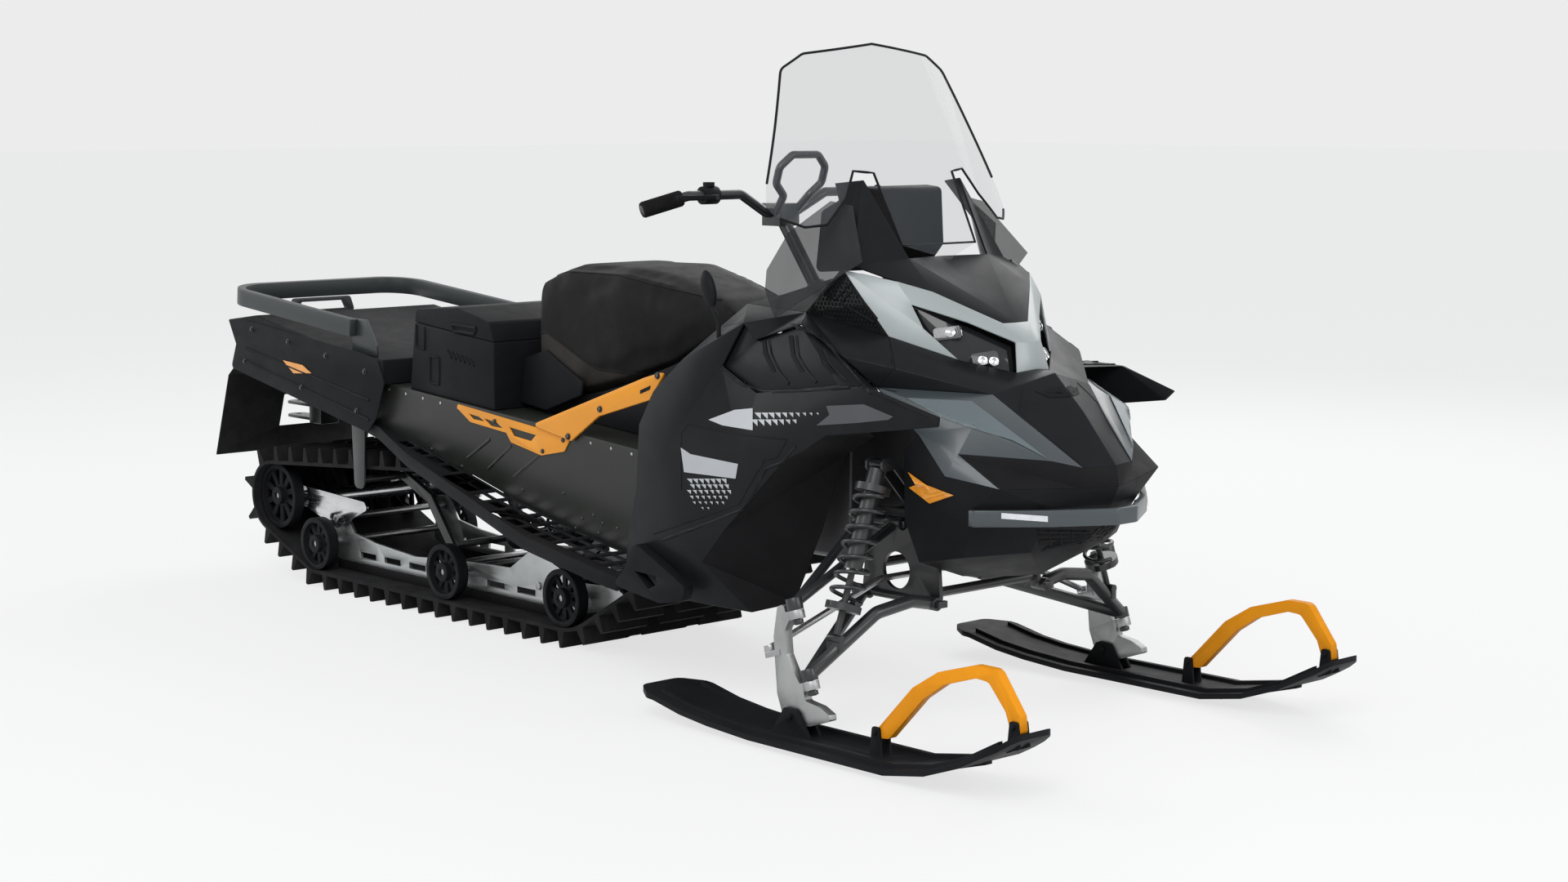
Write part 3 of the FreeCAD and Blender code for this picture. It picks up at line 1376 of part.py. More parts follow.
def ski(side):
    word = "right" if side < 0 else "left"
    middle = s.ski_stance * side
    start = s.ski_stance * -side - s.ski_wide / 2
    blade_top = lower_line(ski_shares, s.ski_thick)
    strip = ribbon(f"ski_strip_{word}", blade_top, s.ski_thick, start, s.ski_wide)
    plan = plate(
        f"ski_plan_{word}", "XY_Plane", 0, s.ski_rise * 1.4,
        [[(x, middle + y, *rest) for x, y,
            *rest in outline(s.ski_rear, s.ski_long, 0, s.ski_wide / 2, ski_plan_shares, s.ski_corner)]],
    )
    blade = common(f"ski_blade_{word}", [strip, plan])
    keel_top = lower_line(ski_shares[2:8], s.ski_thick * 0.5)
    keel_low = [(x, z - s.ski_thick * 1.5) for x, z in keel_top]
    keel_low = [(x, z if z.value > 0 else 0) for x, z in keel_low]
    keel_low[0] = (keel_top[0][0], keel_top[0][1] - s.ski_thick)
    keel_low[-1] = (keel_top[-1][0], keel_top[-1][1] - s.ski_thick)
    flat = [(x, 0) for x, _ in keel_top[2:4]]
    keel_loop = keel_top + [keel_low[-1]] + flat[::-1] + [keel_low[0]]
    keel_start = s.ski_stance * -side - s.ski_keel_wide / 2
    keel = plate(f"ski_keel_{word}", "XZ_Plane", keel_start, s.ski_keel_wide, [keel_loop])
    rib_top = lower_line(ski_shares[1:9], s.ski_thick * 0.5 + s.rib_tall)
    ribs = []
    for i, shift in enumerate((-0.5, 0.5)):
        rib_start = s.ski_stance * -side + s.rib_apart * 2 * shift - s.rib_wide / 2
        ribs.append(ribbon(f"ski_rib_{word}_{i}", rib_top, s.rib_tall, rib_start, s.rib_wide))
    wall = s.saddle_thick
    inside = s.knuckle_thick / 2 + s.knuckle_gap
    saddle_half = s.saddle_long / 2
    floor = s.ski_rise * 0.085 + s.ski_thick * 0.5
    walls = []
    for i, way in enumerate((-1, 1)):
        wall_start = s.ski_stance * -side + (inside if way > 0 else -inside - wall)
        walls.append(plate(
            f"saddle_{word}_{i}", "XZ_Plane", wall_start, wall,
            [[(bolt_x - saddle_half, floor), (bolt_x + saddle_half, floor),
              (bolt_x + s.saddle_bend * 1.6, bolt_z + s.saddle_bend * 1.3, s.saddle_bend),
              (bolt_x - s.saddle_bend * 1.6, bolt_z + s.saddle_bend * 1.3, s.saddle_bend)]],
        ))
    bolt_ends = [(bolt_x, middle + way * (inside + wall * 2), bolt_z) for way in (-1, 1)]
    bolt = rod(f"ski_bolt_{word}", bolt_ends, s.kingpin_radius)
    ears, handle_bores = [], []
    for i, ((foot_share, up_share), base_shares) in enumerate(handle_foot_shares):
        foot = s.handle_rear + s.handle_long * foot_share
        level = s.handle_low + s.handle_rise * up_share
        bore_ends = [(foot, middle + way * s.handle_wide, level) for way in (-1, 1)]
        handle_bores.append(rod(f"handle_bore_{word}_{i}", bore_ends, s.handle_bolt_radius + s.fit_gap))
        half = s.handle_ear_half
        crest = s.handle_bolt_radius * 2
        ear_loop = [
            (foot - half, s.ski_rise * base_shares[0] + s.ski_thick * 0.6),
            (foot + half, s.ski_rise * base_shares[1] + s.ski_thick * 0.6),
            (foot + crest, level + crest, crest * 0.6), (foot - crest, level + crest, crest * 0.6),
        ]
        reach = s.handle_wide / 2 + s.fit_gap
        for way in (-1, 1):
            ear_start = s.ski_stance * -side + (reach if way > 0 else -reach - s.handle_ear_thick)
            ears.append(plate(f"handle_ear_{word}_{i}_{way + 1}", "XZ_Plane", ear_start, s.handle_ear_thick,
                [ear_loop]))
        bolt_ends = [(foot, middle + way * (reach + s.handle_ear_thick * 2), level) for way in (-1, 1)]
        ears.append(rod(f"handle_bolt_{word}_{i}", bolt_ends, s.handle_bolt_radius))
    node(f"ski_{word}", joined(f"ski_whole_{word}", [blade, keel] + ribs + walls + [bolt] + ears))
    handle_loop = outline(s.handle_rear, s.handle_long, s.handle_low, s.handle_rise, handle_shares,
        s.handle_thick)
    handle_start = s.ski_stance * -side - s.handle_wide / 2
    handle = plate(f"handle_{word}", "XZ_Plane", handle_start, s.handle_wide, [handle_loop])
    bores = group(f"handle_bores_{word}", handle_bores)
    node(f"ski_handle_{word}", cut(f"handle_bored_{word}", handle, bores))


ski(-1)
ski(1)


# Bodywork: flat moulded facets between shared corners, each a share of the cowl's three sizes

s.add({
    "cowl_rear": 350,
    "cowl_long": 1080,
    "cowl_half_wide": 420,
    "cowl_low": 200,
    "cowl_rise": 830,
    "cowl_wall": 5,
    "lamp_sink": 24,
    "vent_sink": 9,
})
cowl_shares = {
    "visor_nose": (0.747, 0, 0.778),
    "visor_tip": (0.744, 0.09, 0.778),
    "visor_kink": (0.656, 0.355, 0.857),
    "visor_side": (0.609, 0.486, 0.883),
    "visor_rear": (0.514, 0.552, 0.918),
    "visor_mid": (0.542, 0, 0.934),
    "visor_crest": (0.565, 0.286, 0.934),
    "pillar_front": (0.463, 0.352, 1.129),
    "pillar_rear": (0.403, 0.405, 1.12),
    "surround_rear": (0.514, 0.624, 0.91),
    "opening_rear": (0.644, 0.476, 0.827),
    "opening_top": (0.713, 0.267, 0.783),
    "band_low": (0.778, 0.093, 0.733),
    "band_mid": (0.787, 0, 0.73),
    "surround_low_rear": (0.62, 0.571, 0.749),
    "opening_low": (0.665, 0.448, 0.769),
    "surround_tip": (0.719, 0.34, 0.692),
    "tongue_tip": (0.791, 0.119, 0.659),
    "tongue_mid": (0.8, 0, 0.665),
    "seam_mid": (0.68, 0.679, 0.678),
    "seam_low": (0.644, 0.714, 0.63),
    "hood_bend": (0.814, 0.352, 0.616),
    "hood_side": (0.876, 0.283, 0.552),
    "hood_tip": (0.982, 0.179, 0.448),
    "hood_nose": (1.002, 0, 0.448),
    "hood_crown": (0.847, 0, 0.66),
    "hood_brow": (0.921, 0, 0.569),
    "crease_rear": (0.844, 0.571, 0.552),
    "crease_front": (0.946, 0.298, 0.465),
    "fairing_low": (0.75, 0.702, 0.525),
    "fairing_mid": (0.824, 0.624, 0.482),
    "fairing_foot": (0.815, 0.69, 0.429),
    "fin_tip": (0.918, 0.586, 0.406),
    "intake_in": (0.977, 0.19, 0.398),
    "nose_low": (1.009, 0, 0.398),
    "mouth_side": (0.861, 0.607, 0.355),
    "mouth_mid": (0.954, 0.31, 0.352),
    "mouth_front": (0.991, 0, 0.352),
    "belly_rear_top": (0.694, 0.655, 0.482),
    "belly_rear": (0.685, 0.624, 0.301),
    "chine_side": (0.819, 0.571, 0.223),
    "chine_mid": (0.889, 0.286, 0.231),
    "chine_front": (0.912, 0, 0.223),
    "keel_side": (0.704, 0.571, 0.193),
    "keel_mid": (0.713, 0.286, 0.142),
    "keel_front": (0.815, 0, 0.147),
    "keel_rear": (0.694, 0, 0.12),
    "inlet_rear": (0.398, 0.595, 0.793),
    "inlet_crown": (0.483, 0.552, 0.906),
    "ridge_low": (0.588, 0.798, 0.702),
    "ridge_top": (0.481, 0.833, 0.777),
    "ridge_rear": (0.356, 0.838, 0.727),
    "shoulder_rear": (0.241, 0.624, 0.805),
    "shoulder_low": (0.194, 0.714, 0.741),
    "horn": (0.324, 0.848, 0.766),
    "groove_rear": (0.273, 0.876, 0.653),
    "groove_low": (0.389, 0.91, 0.596),
    "groove_front": (0.62, 0.917, 0.64),
    "wing_root": (0.72, 0.905, 0.635),
    "wing_tip": (0.866, 0.869, 0.583),
    "wing_under": (0.852, 0.838, 0.559),
    "wing_rear_under": (0.597, 0.94, 0.513),
    "wing_mid_under": (0.694, 0.9, 0.53),
    "side_rear_top": (0.173, 0.917, 0.663),
    "side_rear_mid": (0.089, 0.94, 0.569),
    "side_rear": (0.054, 0.962, 0.478),
    "side_rear_low": (0.05, 0.976, 0.302),
    "side_toe_top": (0.023, 0.971, 0.188),
    "side_toe": (0.009, 0.964, 0.096),
    "side_sill_rear": (0.067, 0.933, 0.029),
    "side_sill": (0.195, 0.905, 0.023),
    "side_sill_front": (0.356, 0.869, 0.023),
    "bulge_rear": (0.157, 0.995, 0.434),
    "bulge_mid": (0.38, 1, 0.452),
    "bulge_low": (0.194, 0.995, 0.217),
    "arch_low": (0.243, 0.948, 0.139),
    "arch_mid": (0.317, 0.962, 0.236),
    "arch_top": (0.494, 0.971, 0.439),
    "arch_front": (0.541, 0.957, 0.467),
    "bay_low": (0.38, 0.624, 0.036),
    "bay_mid": (0.454, 0.607, 0.241),
    "bay_top": (0.509, 0.6, 0.434),
    "bay_crown": (0.602, 0.624, 0.496),
    "console_foot": (0.076, 0.143, 0.59),
    "console_foot_side": (0.076, 0.357, 0.59),
    "console_step": (0.097, 0.143, 0.737),
    "console_step_side": (0.097, 0.333, 0.73),
    "console_top": (0.241, 0.143, 0.831),
    "console_top_side": (0.241, 0.357, 0.824),
    "console_front": (0.38, 0.143, 0.88),
    "console_front_side": (0.38, 0.286, 0.88),
    "console_corner": (0.083, 0.6, 0.59),
}
panel_faces = {
    "hood": (
        "surround_low_rear surround_tip hood_bend seam_mid", "seam_mid hood_bend seam_low",
        "surround_tip tongue_tip hood_bend", "tongue_tip tongue_mid hood_crown hood_bend",
        "hood_bend hood_crown hood_brow hood_side", "hood_side hood_brow hood_nose hood_tip",
    ),
    "lamp_surround": (
        "surround_rear visor_side opening_rear", "visor_side visor_kink opening_top opening_rear",
        "visor_kink visor_tip band_low opening_top", "visor_tip visor_nose band_mid band_low",
        "surround_rear opening_rear opening_low surround_low_rear",
            "surround_low_rear opening_low surround_tip",
        "band_low band_mid tongue_mid tongue_tip",
    ),
    "lamp_housings": ("opening_rear opening_top surround_tip opening_low",
        "opening_top band_low tongue_tip surround_tip"),
    "visor": (
        "visor_nose visor_tip visor_kink", "visor_nose visor_kink visor_crest visor_mid",
        "visor_kink visor_side visor_crest", "visor_side visor_rear visor_crest",
        "visor_crest visor_rear pillar_front", "pillar_front visor_rear pillar_rear",
    ),
    "inlet_grilles": ("inlet_rear inlet_crown surround_rear", "inlet_rear surround_rear surround_low_rear"),
    "shoulder_panels": (
        "inlet_rear surround_low_rear ridge_low ridge_top", "surround_low_rear seam_mid ridge_low",
        "seam_mid seam_low ridge_low", "inlet_rear ridge_top ridge_rear",
            "inlet_rear ridge_rear horn shoulder_rear",
        "shoulder_rear horn shoulder_low",
    ),
    "vent_panels": (
        "ridge_rear ridge_top groove_low", "ridge_top ridge_low groove_front groove_low",
        "ridge_rear groove_low groove_rear", "ridge_rear groove_rear horn", "ridge_low seam_low groove_front",
    ),
    "side_panels": (
        "shoulder_low horn side_rear_top", "horn groove_rear side_rear_top",
            "groove_rear bulge_rear side_rear_top",
        "side_rear_top bulge_rear side_rear_mid", "side_rear_mid bulge_rear side_rear",
        "groove_rear groove_low bulge_mid", "groove_rear bulge_mid bulge_rear",
            "groove_low groove_front bulge_mid",
        "groove_front wing_root wing_mid_under wing_rear_under",
            "wing_root wing_tip wing_under wing_mid_under",
        "bulge_mid groove_front wing_rear_under", "bulge_mid wing_rear_under arch_front",
        "bulge_mid arch_front arch_top", "bulge_mid arch_top arch_mid", "bulge_rear bulge_mid arch_mid",
        "bulge_rear arch_mid bulge_low", "bulge_rear bulge_low side_rear",
            "side_rear bulge_low side_rear_low",
        "side_rear_low bulge_low side_toe_top", "bulge_low side_toe side_toe_top",
            "bulge_low side_sill_rear side_toe",
        "bulge_low side_sill side_sill_rear", "bulge_low arch_low side_sill", "bulge_low arch_mid arch_low",
        "side_sill arch_low side_sill_front", "groove_front seam_low wing_root",
    ),
    "wheel_bay_walls": (
        "arch_low arch_mid bay_mid bay_low", "arch_mid arch_top bay_top bay_mid",
            "arch_top arch_front bay_crown bay_top",
        "side_sill_front arch_low bay_low", "arch_front wing_rear_under bay_crown",
        "wing_rear_under wing_mid_under bay_crown",
    ),
    "nose_fairings": (
        "seam_low hood_bend crease_rear", "hood_bend hood_side crease_front crease_rear",
        "hood_side hood_tip crease_front", "seam_low crease_rear fairing_low",
            "crease_rear fairing_mid fairing_low",
        "crease_rear crease_front fairing_mid", "fairing_low fairing_mid fairing_foot",
        "fairing_mid fin_tip fairing_foot",
    ),
    "nose_intakes": (
        "fairing_mid crease_front intake_in fin_tip", "crease_front hood_tip intake_in",
        "hood_tip hood_nose nose_low intake_in",
    ),
    "belly_pan": (
        "fairing_low fairing_foot belly_rear_top", "fairing_foot mouth_side belly_rear",
        "fairing_foot belly_rear belly_rear_top", "fairing_foot fin_tip mouth_side",
        "fin_tip intake_in mouth_mid mouth_side", "intake_in nose_low mouth_front mouth_mid",
        "mouth_side mouth_mid chine_mid chine_side", "mouth_mid mouth_front chine_front chine_mid",
        "mouth_side chine_side keel_side belly_rear", "chine_side chine_mid keel_mid keel_side",
        "chine_mid chine_front keel_front keel_mid", "keel_mid keel_front keel_rear",
    ),
    "console": (
        "console_foot console_foot_side console_step_side console_step",
        "console_foot_side console_corner console_step_side",
            "console_corner side_rear_mid shoulder_low console_step_side",
        "side_rear_mid side_rear_top shoulder_low",
        "console_step console_step_side console_top_side console_top",
        "console_step_side shoulder_low shoulder_rear console_top_side",
        "console_top console_top_side console_front_side console_front",
        "console_top_side shoulder_rear inlet_rear console_front_side",
            "console_front_side inlet_rear inlet_crown",
    ),
}
centre_panels = ("hood", "lamp_surround", "visor", "nose_intakes", "belly_pan")
core_share = (0.5, 0, 0.4)


def cowl_spot(shares):
    """A corner of the right-hand bodywork."""
    x = s.cowl_rear + s.cowl_long * shares[0]
    z = s.cowl_low + s.cowl_rise * shares[2]
    return Vector(x.value, -(s.cowl_half_wide * shares[1]).value, z.value)


cowl_corners = {name: cowl_spot(shares) for name, shares in cowl_shares.items()}
cowl_core = cowl_spot(core_share)


def triangles(faces):
    """The facets as triangles: the first faces out, and the rest agree with their neighbours."""
    waiting = []
    for face in faces:
        names = face.split()
        waiting += [(names[0], names[i], names[i + 1]) for i in range(1, len(names) - 1)]
    found = []
    edges = set()
    while waiting:
        for names in waiting:
            sides = set(zip(names, names[1:] + names[:1]))
            back = {(b, a) for a, b in sides}
            if edges & sides or edges & back:
                break
        else:
            names = waiting[0]
            a, b, c = (cowl_corners[name] for name in names)
            turned_in = (b - a).cross(c - a).dot((a + b + c) * (1 / 3) - cowl_core) < 0
            sides = set(zip(names, names[1:] + names[:1]))
            waiting.remove(names)
            turned_names = names[::-1] if turned_in else names
            found.append(turned_names)
            edges |= set(zip(turned_names, turned_names[1:] + turned_names[:1]))
            continue
        waiting.remove(names)
        turned_names = names[::-1] if edges & sides else names
        found.append(turned_names)
        edges |= set(zip(turned_names, turned_names[1:] + turned_names[:1]))
    return found


inward = {name: Vector() for name in cowl_corners}
for faces in panel_faces.values():
    for names in triangles(faces):
        a, b, c = (cowl_corners[name] for name in names)
        normal = (b - a).cross(c - a).normalize()
        for name in names:
            inward[name] -= normal
for name, way in inward.items():
    if cowl_corners[name].y == 0:
        way.y = 0
    way.normalize()


def facet(*places):
    return Part.Face(Part.makePolygon([*places, places[0]]))


def faceted_panel(name, faces, wall, sink=0):
    """A panel of one wall: its outer facets, the same moved in, and its edges between them."""
    outer = {corner: place + inward[corner] * sink for corner, place in cowl_corners.items()}
    inner = {corner: place + inward[corner] * (sink + wall) for corner, place in cowl_corners.items()}
    found = triangles(faces)
    edges = {(a, b) for names in found for a, b in zip(names, names[1:] + names[:1])}
    skins = []
    for a, b, c in found:
        skins.append(facet(outer[a], outer[b], outer[c]))
        skins.append(facet(inner[a], inner[c], inner[b]))
    for a, b in edges:
        if (b, a) in edges:
            continue
        if a < b:
            skins += [facet(outer[a], inner[b], outer[b]), facet(outer[a], inner[a], inner[b])]
        else:
            skins += [facet(outer[a], inner[a], outer[b]), facet(outer[b], inner[a], inner[b])]
    solid = Part.Solid(Part.Shell(skins))
    if solid.Volume < 0:
        solid.reverse()
    return feature(name + "_facets", solid)


panel_sinks = {"lamp_housings": s.lamp_sink, "vent_panels": s.vent_sink}
for name, faces in panel_faces.items():
    half = faceted_panel(name, faces, s.cowl_wall.value, float(panel_sinks.get(name, 0)))
    if name in centre_panels:
        node(name, joined(name + "_whole", [half, mirrored(name + "_left", half)]))
    else:
        node(name, pair(name + "_pair", half))


# Lamps, bumper and glass

s.add({
    "bumper_bend_ahead": 1390,
    "bumper_nose_ahead": 1465,
    "bumper_end_ahead": 1290,
    "bumper_end_side": 265,
    "bumper_bracket_deep": 17,
    "bumper_bracket_side": 150,
    "bumper_bend_side": 150,
    "bumper_nose_side": 30,
    "bumper_low": 457,
    "bumper_tall": 34,
    "bumper_thick": 15,
    "bumper_corner": 20,
    "marker_thick": 6,
    "shield_top_up": 1426,
    "shield_foot_up": 968,
    "shield_top_ahead": 724,
    "shield_foot_ahead": 959,
    "shield_bend": 588,
    "shield_thick": 3,
    "shield_half_wide": 362,
    "deflector_thick": 4,
    "lens_wide": 58,
    "lens_tall": 26,
    "lens_deep": 16,
})
bumper_outside = [
    (s.bumper_end_ahead, -s.bumper_end_side), (s.bumper_bend_ahead, -s.bumper_bend_side, s.bumper_corner),
    (s.bumper_nose_ahead, -s.bumper_nose_side, s.bumper_corner),
        (s.bumper_nose_ahead, s.bumper_nose_side, s.bumper_corner),
    (s.bumper_bend_ahead, s.bumper_bend_side, s.bumper_corner), (s.bumper_end_ahead, s.bumper_end_side),
]
bumper_inside = [(corner[0] - s.bumper_thick * 1.2, *corner[1:]) for corner in reversed(bumper_outside)]
bumper = plate("bumper", "XY_Plane", s.bumper_low, s.bumper_tall, [bumper_outside + bumper_inside])
bumper_bracket = box(
    "bumper_bracket",
    (s.bumper_bend_ahead - s.bumper_thick - s.bumper_bracket_deep,
        -s.bumper_bracket_side - s.bumper_thick / 3,
     s.bumper_low + s.bumper_tall * 0.4),
    (s.bumper_bracket_deep + s.bumper_thick * 0.5, s.bumper_thick * 0.67, s.bumper_tall * 0.25),
)
node("front_bumper", joined("bumper_and_brackets", [
    bumper, bumper_bracket, mirrored("bumper_bracket_left", bumper_bracket),
]))


def patch(name, places, out, thick):
    """A flat-faced patch that lies just off the bodywork, on the corners given."""
    centre = sum(places, Vector()) * (1 / len(places))
    normal = (places[1] - places[0]).cross(places[2] - places[0]).normalize()
    if normal.dot(centre - cowl_core) < 0:
        normal = normal * -1
    base = [place - normal * (place - places[0]).dot(normal) + normal * out for place in places]
    return feature(name, facet(*base).extrude(normal * thick))


def between(*weighted):
    """A point between corners of the cowl, each with its weight."""
    whole = sum(weight for name, weight in weighted)
    return sum((cowl_corners[name] * (weight / whole) for name, weight in weighted), Vector())


marker = patch("marker", [
    between(("fairing_foot", 0.12), ("belly_rear_top", 0.58), ("belly_rear", 0.3)),
    between(("fairing_foot", 0.34), ("belly_rear_top", 0.36), ("belly_rear", 0.3)),
    between(("fairing_foot", 0.66), ("belly_rear_top", 0.04), ("belly_rear", 0.3)),
    between(("fairing_foot", 0.36), ("belly_rear_top", 0.22), ("belly_rear", 0.42)),
], s.fit_gap.value, s.marker_thick.value)
node("marker_lenses", pair("marker_pair", marker))


def lens(name, weights):
    """A clear lamp block that stands on the sunk lamp housing."""
    centre = between(*weights)
    way = sum((inward[name] for name, weight in weights), Vector()).normalize()
    block = Part.makeBox(s.lens_deep.value, s.lens_wide.value, s.lens_tall.value,
                         Vector(0, -s.lens_wide.value / 2, -s.lens_tall.value / 2))
    block = block.makeFillet(s.lens_tall.value * 0.25,
        [edge for edge in block.Edges if abs(edge.tangentAt(0).x) > 0.9])
    piece = feature(name, block)
    foot = centre + way * (s.lamp_sink.value - s.fit_gap.value)
    piece.Placement = FreeCAD.Placement(foot, Rotation(Vector(1, 0, 0), way * -1))
    return piece


upper_lens = lens("upper_lens",
    (("opening_top", 0.34), ("opening_low", 0.12), ("opening_rear", 0.2), ("surround_tip", 0.34)))
lower_lens = lens("lower_lens",
    (("opening_top", 0.12), ("band_low", 0.16), ("tongue_tip", 0.3), ("surround_tip", 0.42)))
lamp_nest = group("lamp_nest", [nodes["lamp_housings"], nodes["hood"], nodes["lamp_surround"]])
lenses = []
for lamp in (upper_lens, lower_lens):
    seated = cut(lamp.Name + "_seated", lamp, lamp_nest)
    lenses += [seated, mirrored(lamp.Name + "_left", seated)]
node("headlamps", group("lens_group", lenses))

shield_shares = (
    (0, 0), (0.31, 0.07), (0.33, 0.4), (0.46, 0.41), (0.56, 0.29), (0.72, 0.17), (0.84, 0.16), (1, 0.22, 1),
    (0.953, 0.356), (0.82, 0.607), (0.68, 0.878, 1), (0.52, 0.95, 1), (0, 1),
)
shield_rise = s.shield_top_up - s.shield_foot_up
shield_loop = outline(0, s.shield_half_wide, s.shield_foot_up, shield_rise, shield_shares, s.ski_corner)
shield_loop = [(0, *corner[1:]) if i in (0, len(shield_loop) - 1) else corner for i,
    corner in enumerate(shield_loop)]
shield_prism = plate("shield_prism", "YZ_Plane", s.cowl_rear, s.cowl_long, [shield_loop])


def shield_band():
    """A slice of the bent windshield: an arc in plan, swept up along the rake."""
    rake = (s.shield_top_ahead - s.shield_foot_ahead).value / shield_rise.value
    overrun = shield_rise.value * 0.1
    foot_x = s.shield_foot_ahead.value - rake * overrun
    foot_z = s.shield_foot_up.value - overrun
    rims = []
    for bend in (s.shield_bend.value, s.shield_bend.value - s.shield_thick.value):
        half = s.shield_half_wide.value * 1.05
        back = foot_x - s.shield_bend.value
        side_x = back + math.sqrt(bend ** 2 - half ** 2)
        rims.append([Vector(side_x, -half, foot_z), Vector(back + bend, 0, foot_z),
            Vector(side_x, half, foot_z)])
    (a, b, c), (d, e, f) = rims
    edges = [Part.Arc(a, b, c).toShape(), Part.LineSegment(c, f).toShape(),
             Part.Arc(f, e, d).toShape(), Part.LineSegment(d, a).toShape()]
    run = shield_rise.value + overrun * 2
    return Part.Face(Part.Wire(edges)).extrude(Vector(rake * run, 0, run))


shield_half = common("shield_half", [feature("shield_band", shield_band()), shield_prism])
node("windshield", joined("shield", [shield_half, mirrored("shield_other_half", shield_half)]))

deflector_shares = {
    "low": (0.394, 0.8, 0.783), "rear": (0.375, 0.82, 0.853), "rear_top": (0.38, 0.82, 0.905),
    "shoulder": (0.417, 0.76, 1.0), "top": (0.429, 0.5, 1.076), "crown": (0.48, 0.48, 1.066),
        "front": (0.56, 0.61, 0.93),
}
deflector_spots = [cowl_spot(shares) for shares in deflector_shares.values()]
deflector_low, *deflector_rest = deflector_spots
deflector_facets = [
    facet(deflector_low, a, b) for a, b in zip(deflector_rest, deflector_rest[1:])
]
deflector_way = Vector(0, s.deflector_thick.value, 0)
deflector_solid = deflector_facets[0].extrude(deflector_way).multiFuse([face.extrude(deflector_way) for face in deflector_facets[1:]])
node("side_deflectors", pair("deflector_pair", feature("deflector", deflector_solid)))


# Engine block, front frame and dash

s.add({
    "dash_half_wide": 105,
    "dash_rear": 655,
    "dash_long": 190,
    "dash_low": 921,
    "dash_rise": 200,
    "post_top_ahead": 430,
    "post_top_up": 1045,
    "post_foot_ahead": 690,
    "post_foot_up": 700,
    "post_radius": 15,
    "sleeve_radius": 23,
    "sleeve_long": 60,
    "stay_radius": 11,
    "stay_foot_side": 235,
    "frame_low": 248,
    "frame_rise": 210,
    "frame_rear": 862,
    "frame_long": 232,
    "frame_thick": 10,
    "frame_half_apart": 158,
    "tie_window_radius": 40,
    "cradle_side": 120,
})
engine = box(
    "engine", (s.engine_rear, -s.engine_half_wide, s.engine_low),
    (s.engine_long, s.engine_half_wide * 2, s.engine_tall),
)
node("engine_block", engine)

post_way = (spot((s.post_top_ahead, 0, s.post_top_up)) - spot((s.post_foot_ahead, 0,
    s.post_foot_up))).normalize()


def up_post(distance):
    """A point on the steering post's line, a distance above its foot."""
    return (s.post_foot_ahead + post_way.x * distance, 0, s.post_foot_up + post_way.z * distance)


post_long = (spot((s.post_top_ahead, 0, s.post_top_up)) - spot((s.post_foot_ahead, 0, s.post_foot_up))).Length
sleeve_bore = s.post_radius + s.fit_gap
foot_sleeve = rod("foot_sleeve", (up_post(0), up_post(s.sleeve_long.value)), s.sleeve_radius, sleeve_bore)
foot_rest = box(
    "foot_rest", (s.post_foot_ahead - s.sleeve_long / 2, -s.sleeve_radius,
        s.engine_low + s.engine_tall + s.fit_gap),
    (s.sleeve_long, s.sleeve_radius * 2, s.sleeve_long * 0.95),
)
foot_rest_cut = cut("foot_rest_cut", foot_rest,
    rod("foot_rest_core", (up_post(-s.sleeve_long.value * 2), up_post(s.sleeve_long.value)), sleeve_bore))
upper_sleeve_at = post_long * 0.42
upper_sleeve = rod(
    "upper_post_sleeve", (up_post(upper_sleeve_at), up_post(upper_sleeve_at + s.sleeve_long.value)),
        s.sleeve_radius, sleeve_bore,
)
stays = []
for i, side in enumerate((-1, 1)):
    shoulder = up_post(upper_sleeve_at + s.sleeve_long.value / 2)
    shoulder = (shoulder[0], side * (s.sleeve_radius - s.stay_radius * 0.5), shoulder[2])
    foot_stay = (tunnel_front - s.stay_radius * 2, side * s.stay_foot_side,
        tunnel_top(tunnel_front) + s.stay_radius)
    stays.append(rod(f"stay_{i}", (shoulder, foot_stay), s.stay_radius))

frame_shares = ((0, 0.05, 1), (1, 0.05, 1), (0.93, 0.95, 1), (0.08, 0.95, 1))
tie_window = (s.frame_rear + s.frame_long * 0.44, s.frame_low + s.frame_rise * 0.32, s.tie_window_radius)
frame_side = plate(
    "frame_side", "XZ_Plane", s.frame_half_apart - s.frame_thick, s.frame_thick,
    [outline(s.frame_rear, s.frame_long, s.frame_low, s.frame_rise, frame_shares, s.frame_tube)],
        [tie_window],
)
frame_pieces = [frame_side]
for name, front, rear in (("upper", upper_front, upper_rear), ("lower", lower_front, lower_rear)):
    half = sleeve_half + s.fit_gap
    first = (rear[0] - half - s.frame_thick, rear[1], rear[2])
    last = (front[0] + half + s.frame_thick, front[1], front[2])
    frame_pieces.append(rod(f"{name}_pivot_rod", (first, last), s.kingpin_radius))
    side_reach = -front[1] - s.frame_half_apart + s.frame_thick * 0.5
    for i, x in enumerate((first[0], rear[0] + half, front[0] - half - s.frame_thick,
        last[0] - s.frame_thick)):
        frame_pieces.append(box(
            f"{name}_pivot_ear_{i}", (x, front[1] - s.kingpin_radius, front[2] - s.kingpin_radius),
            (s.frame_thick, side_reach + s.kingpin_radius, s.kingpin_radius * 2),
        ))
tower_side, tower_up = damper_top[1], damper_top[2]
boss = s.shaft_radius * 1.5
tower_outline = [
    (-s.frame_half_apart, s.frame_low + s.frame_rise * 0.84),
        (tower_side + boss * 1.6, tower_up - boss * 0.7),
    (tower_side - boss, tower_up - boss, boss * 0.6), (tower_side - boss, tower_up + boss, boss * 0.6),
    (tower_side + boss, tower_up + boss, boss * 0.6),
        (-s.frame_half_apart, s.frame_low + s.frame_rise * 1.12),
    (-s.frame_half_apart + s.frame_thick, s.frame_low + s.frame_rise * 1.12),
    (-s.frame_half_apart + s.frame_thick, s.frame_low + s.frame_rise * 0.84),
]
cheek_apart = s.damper_radius + s.fit_gap
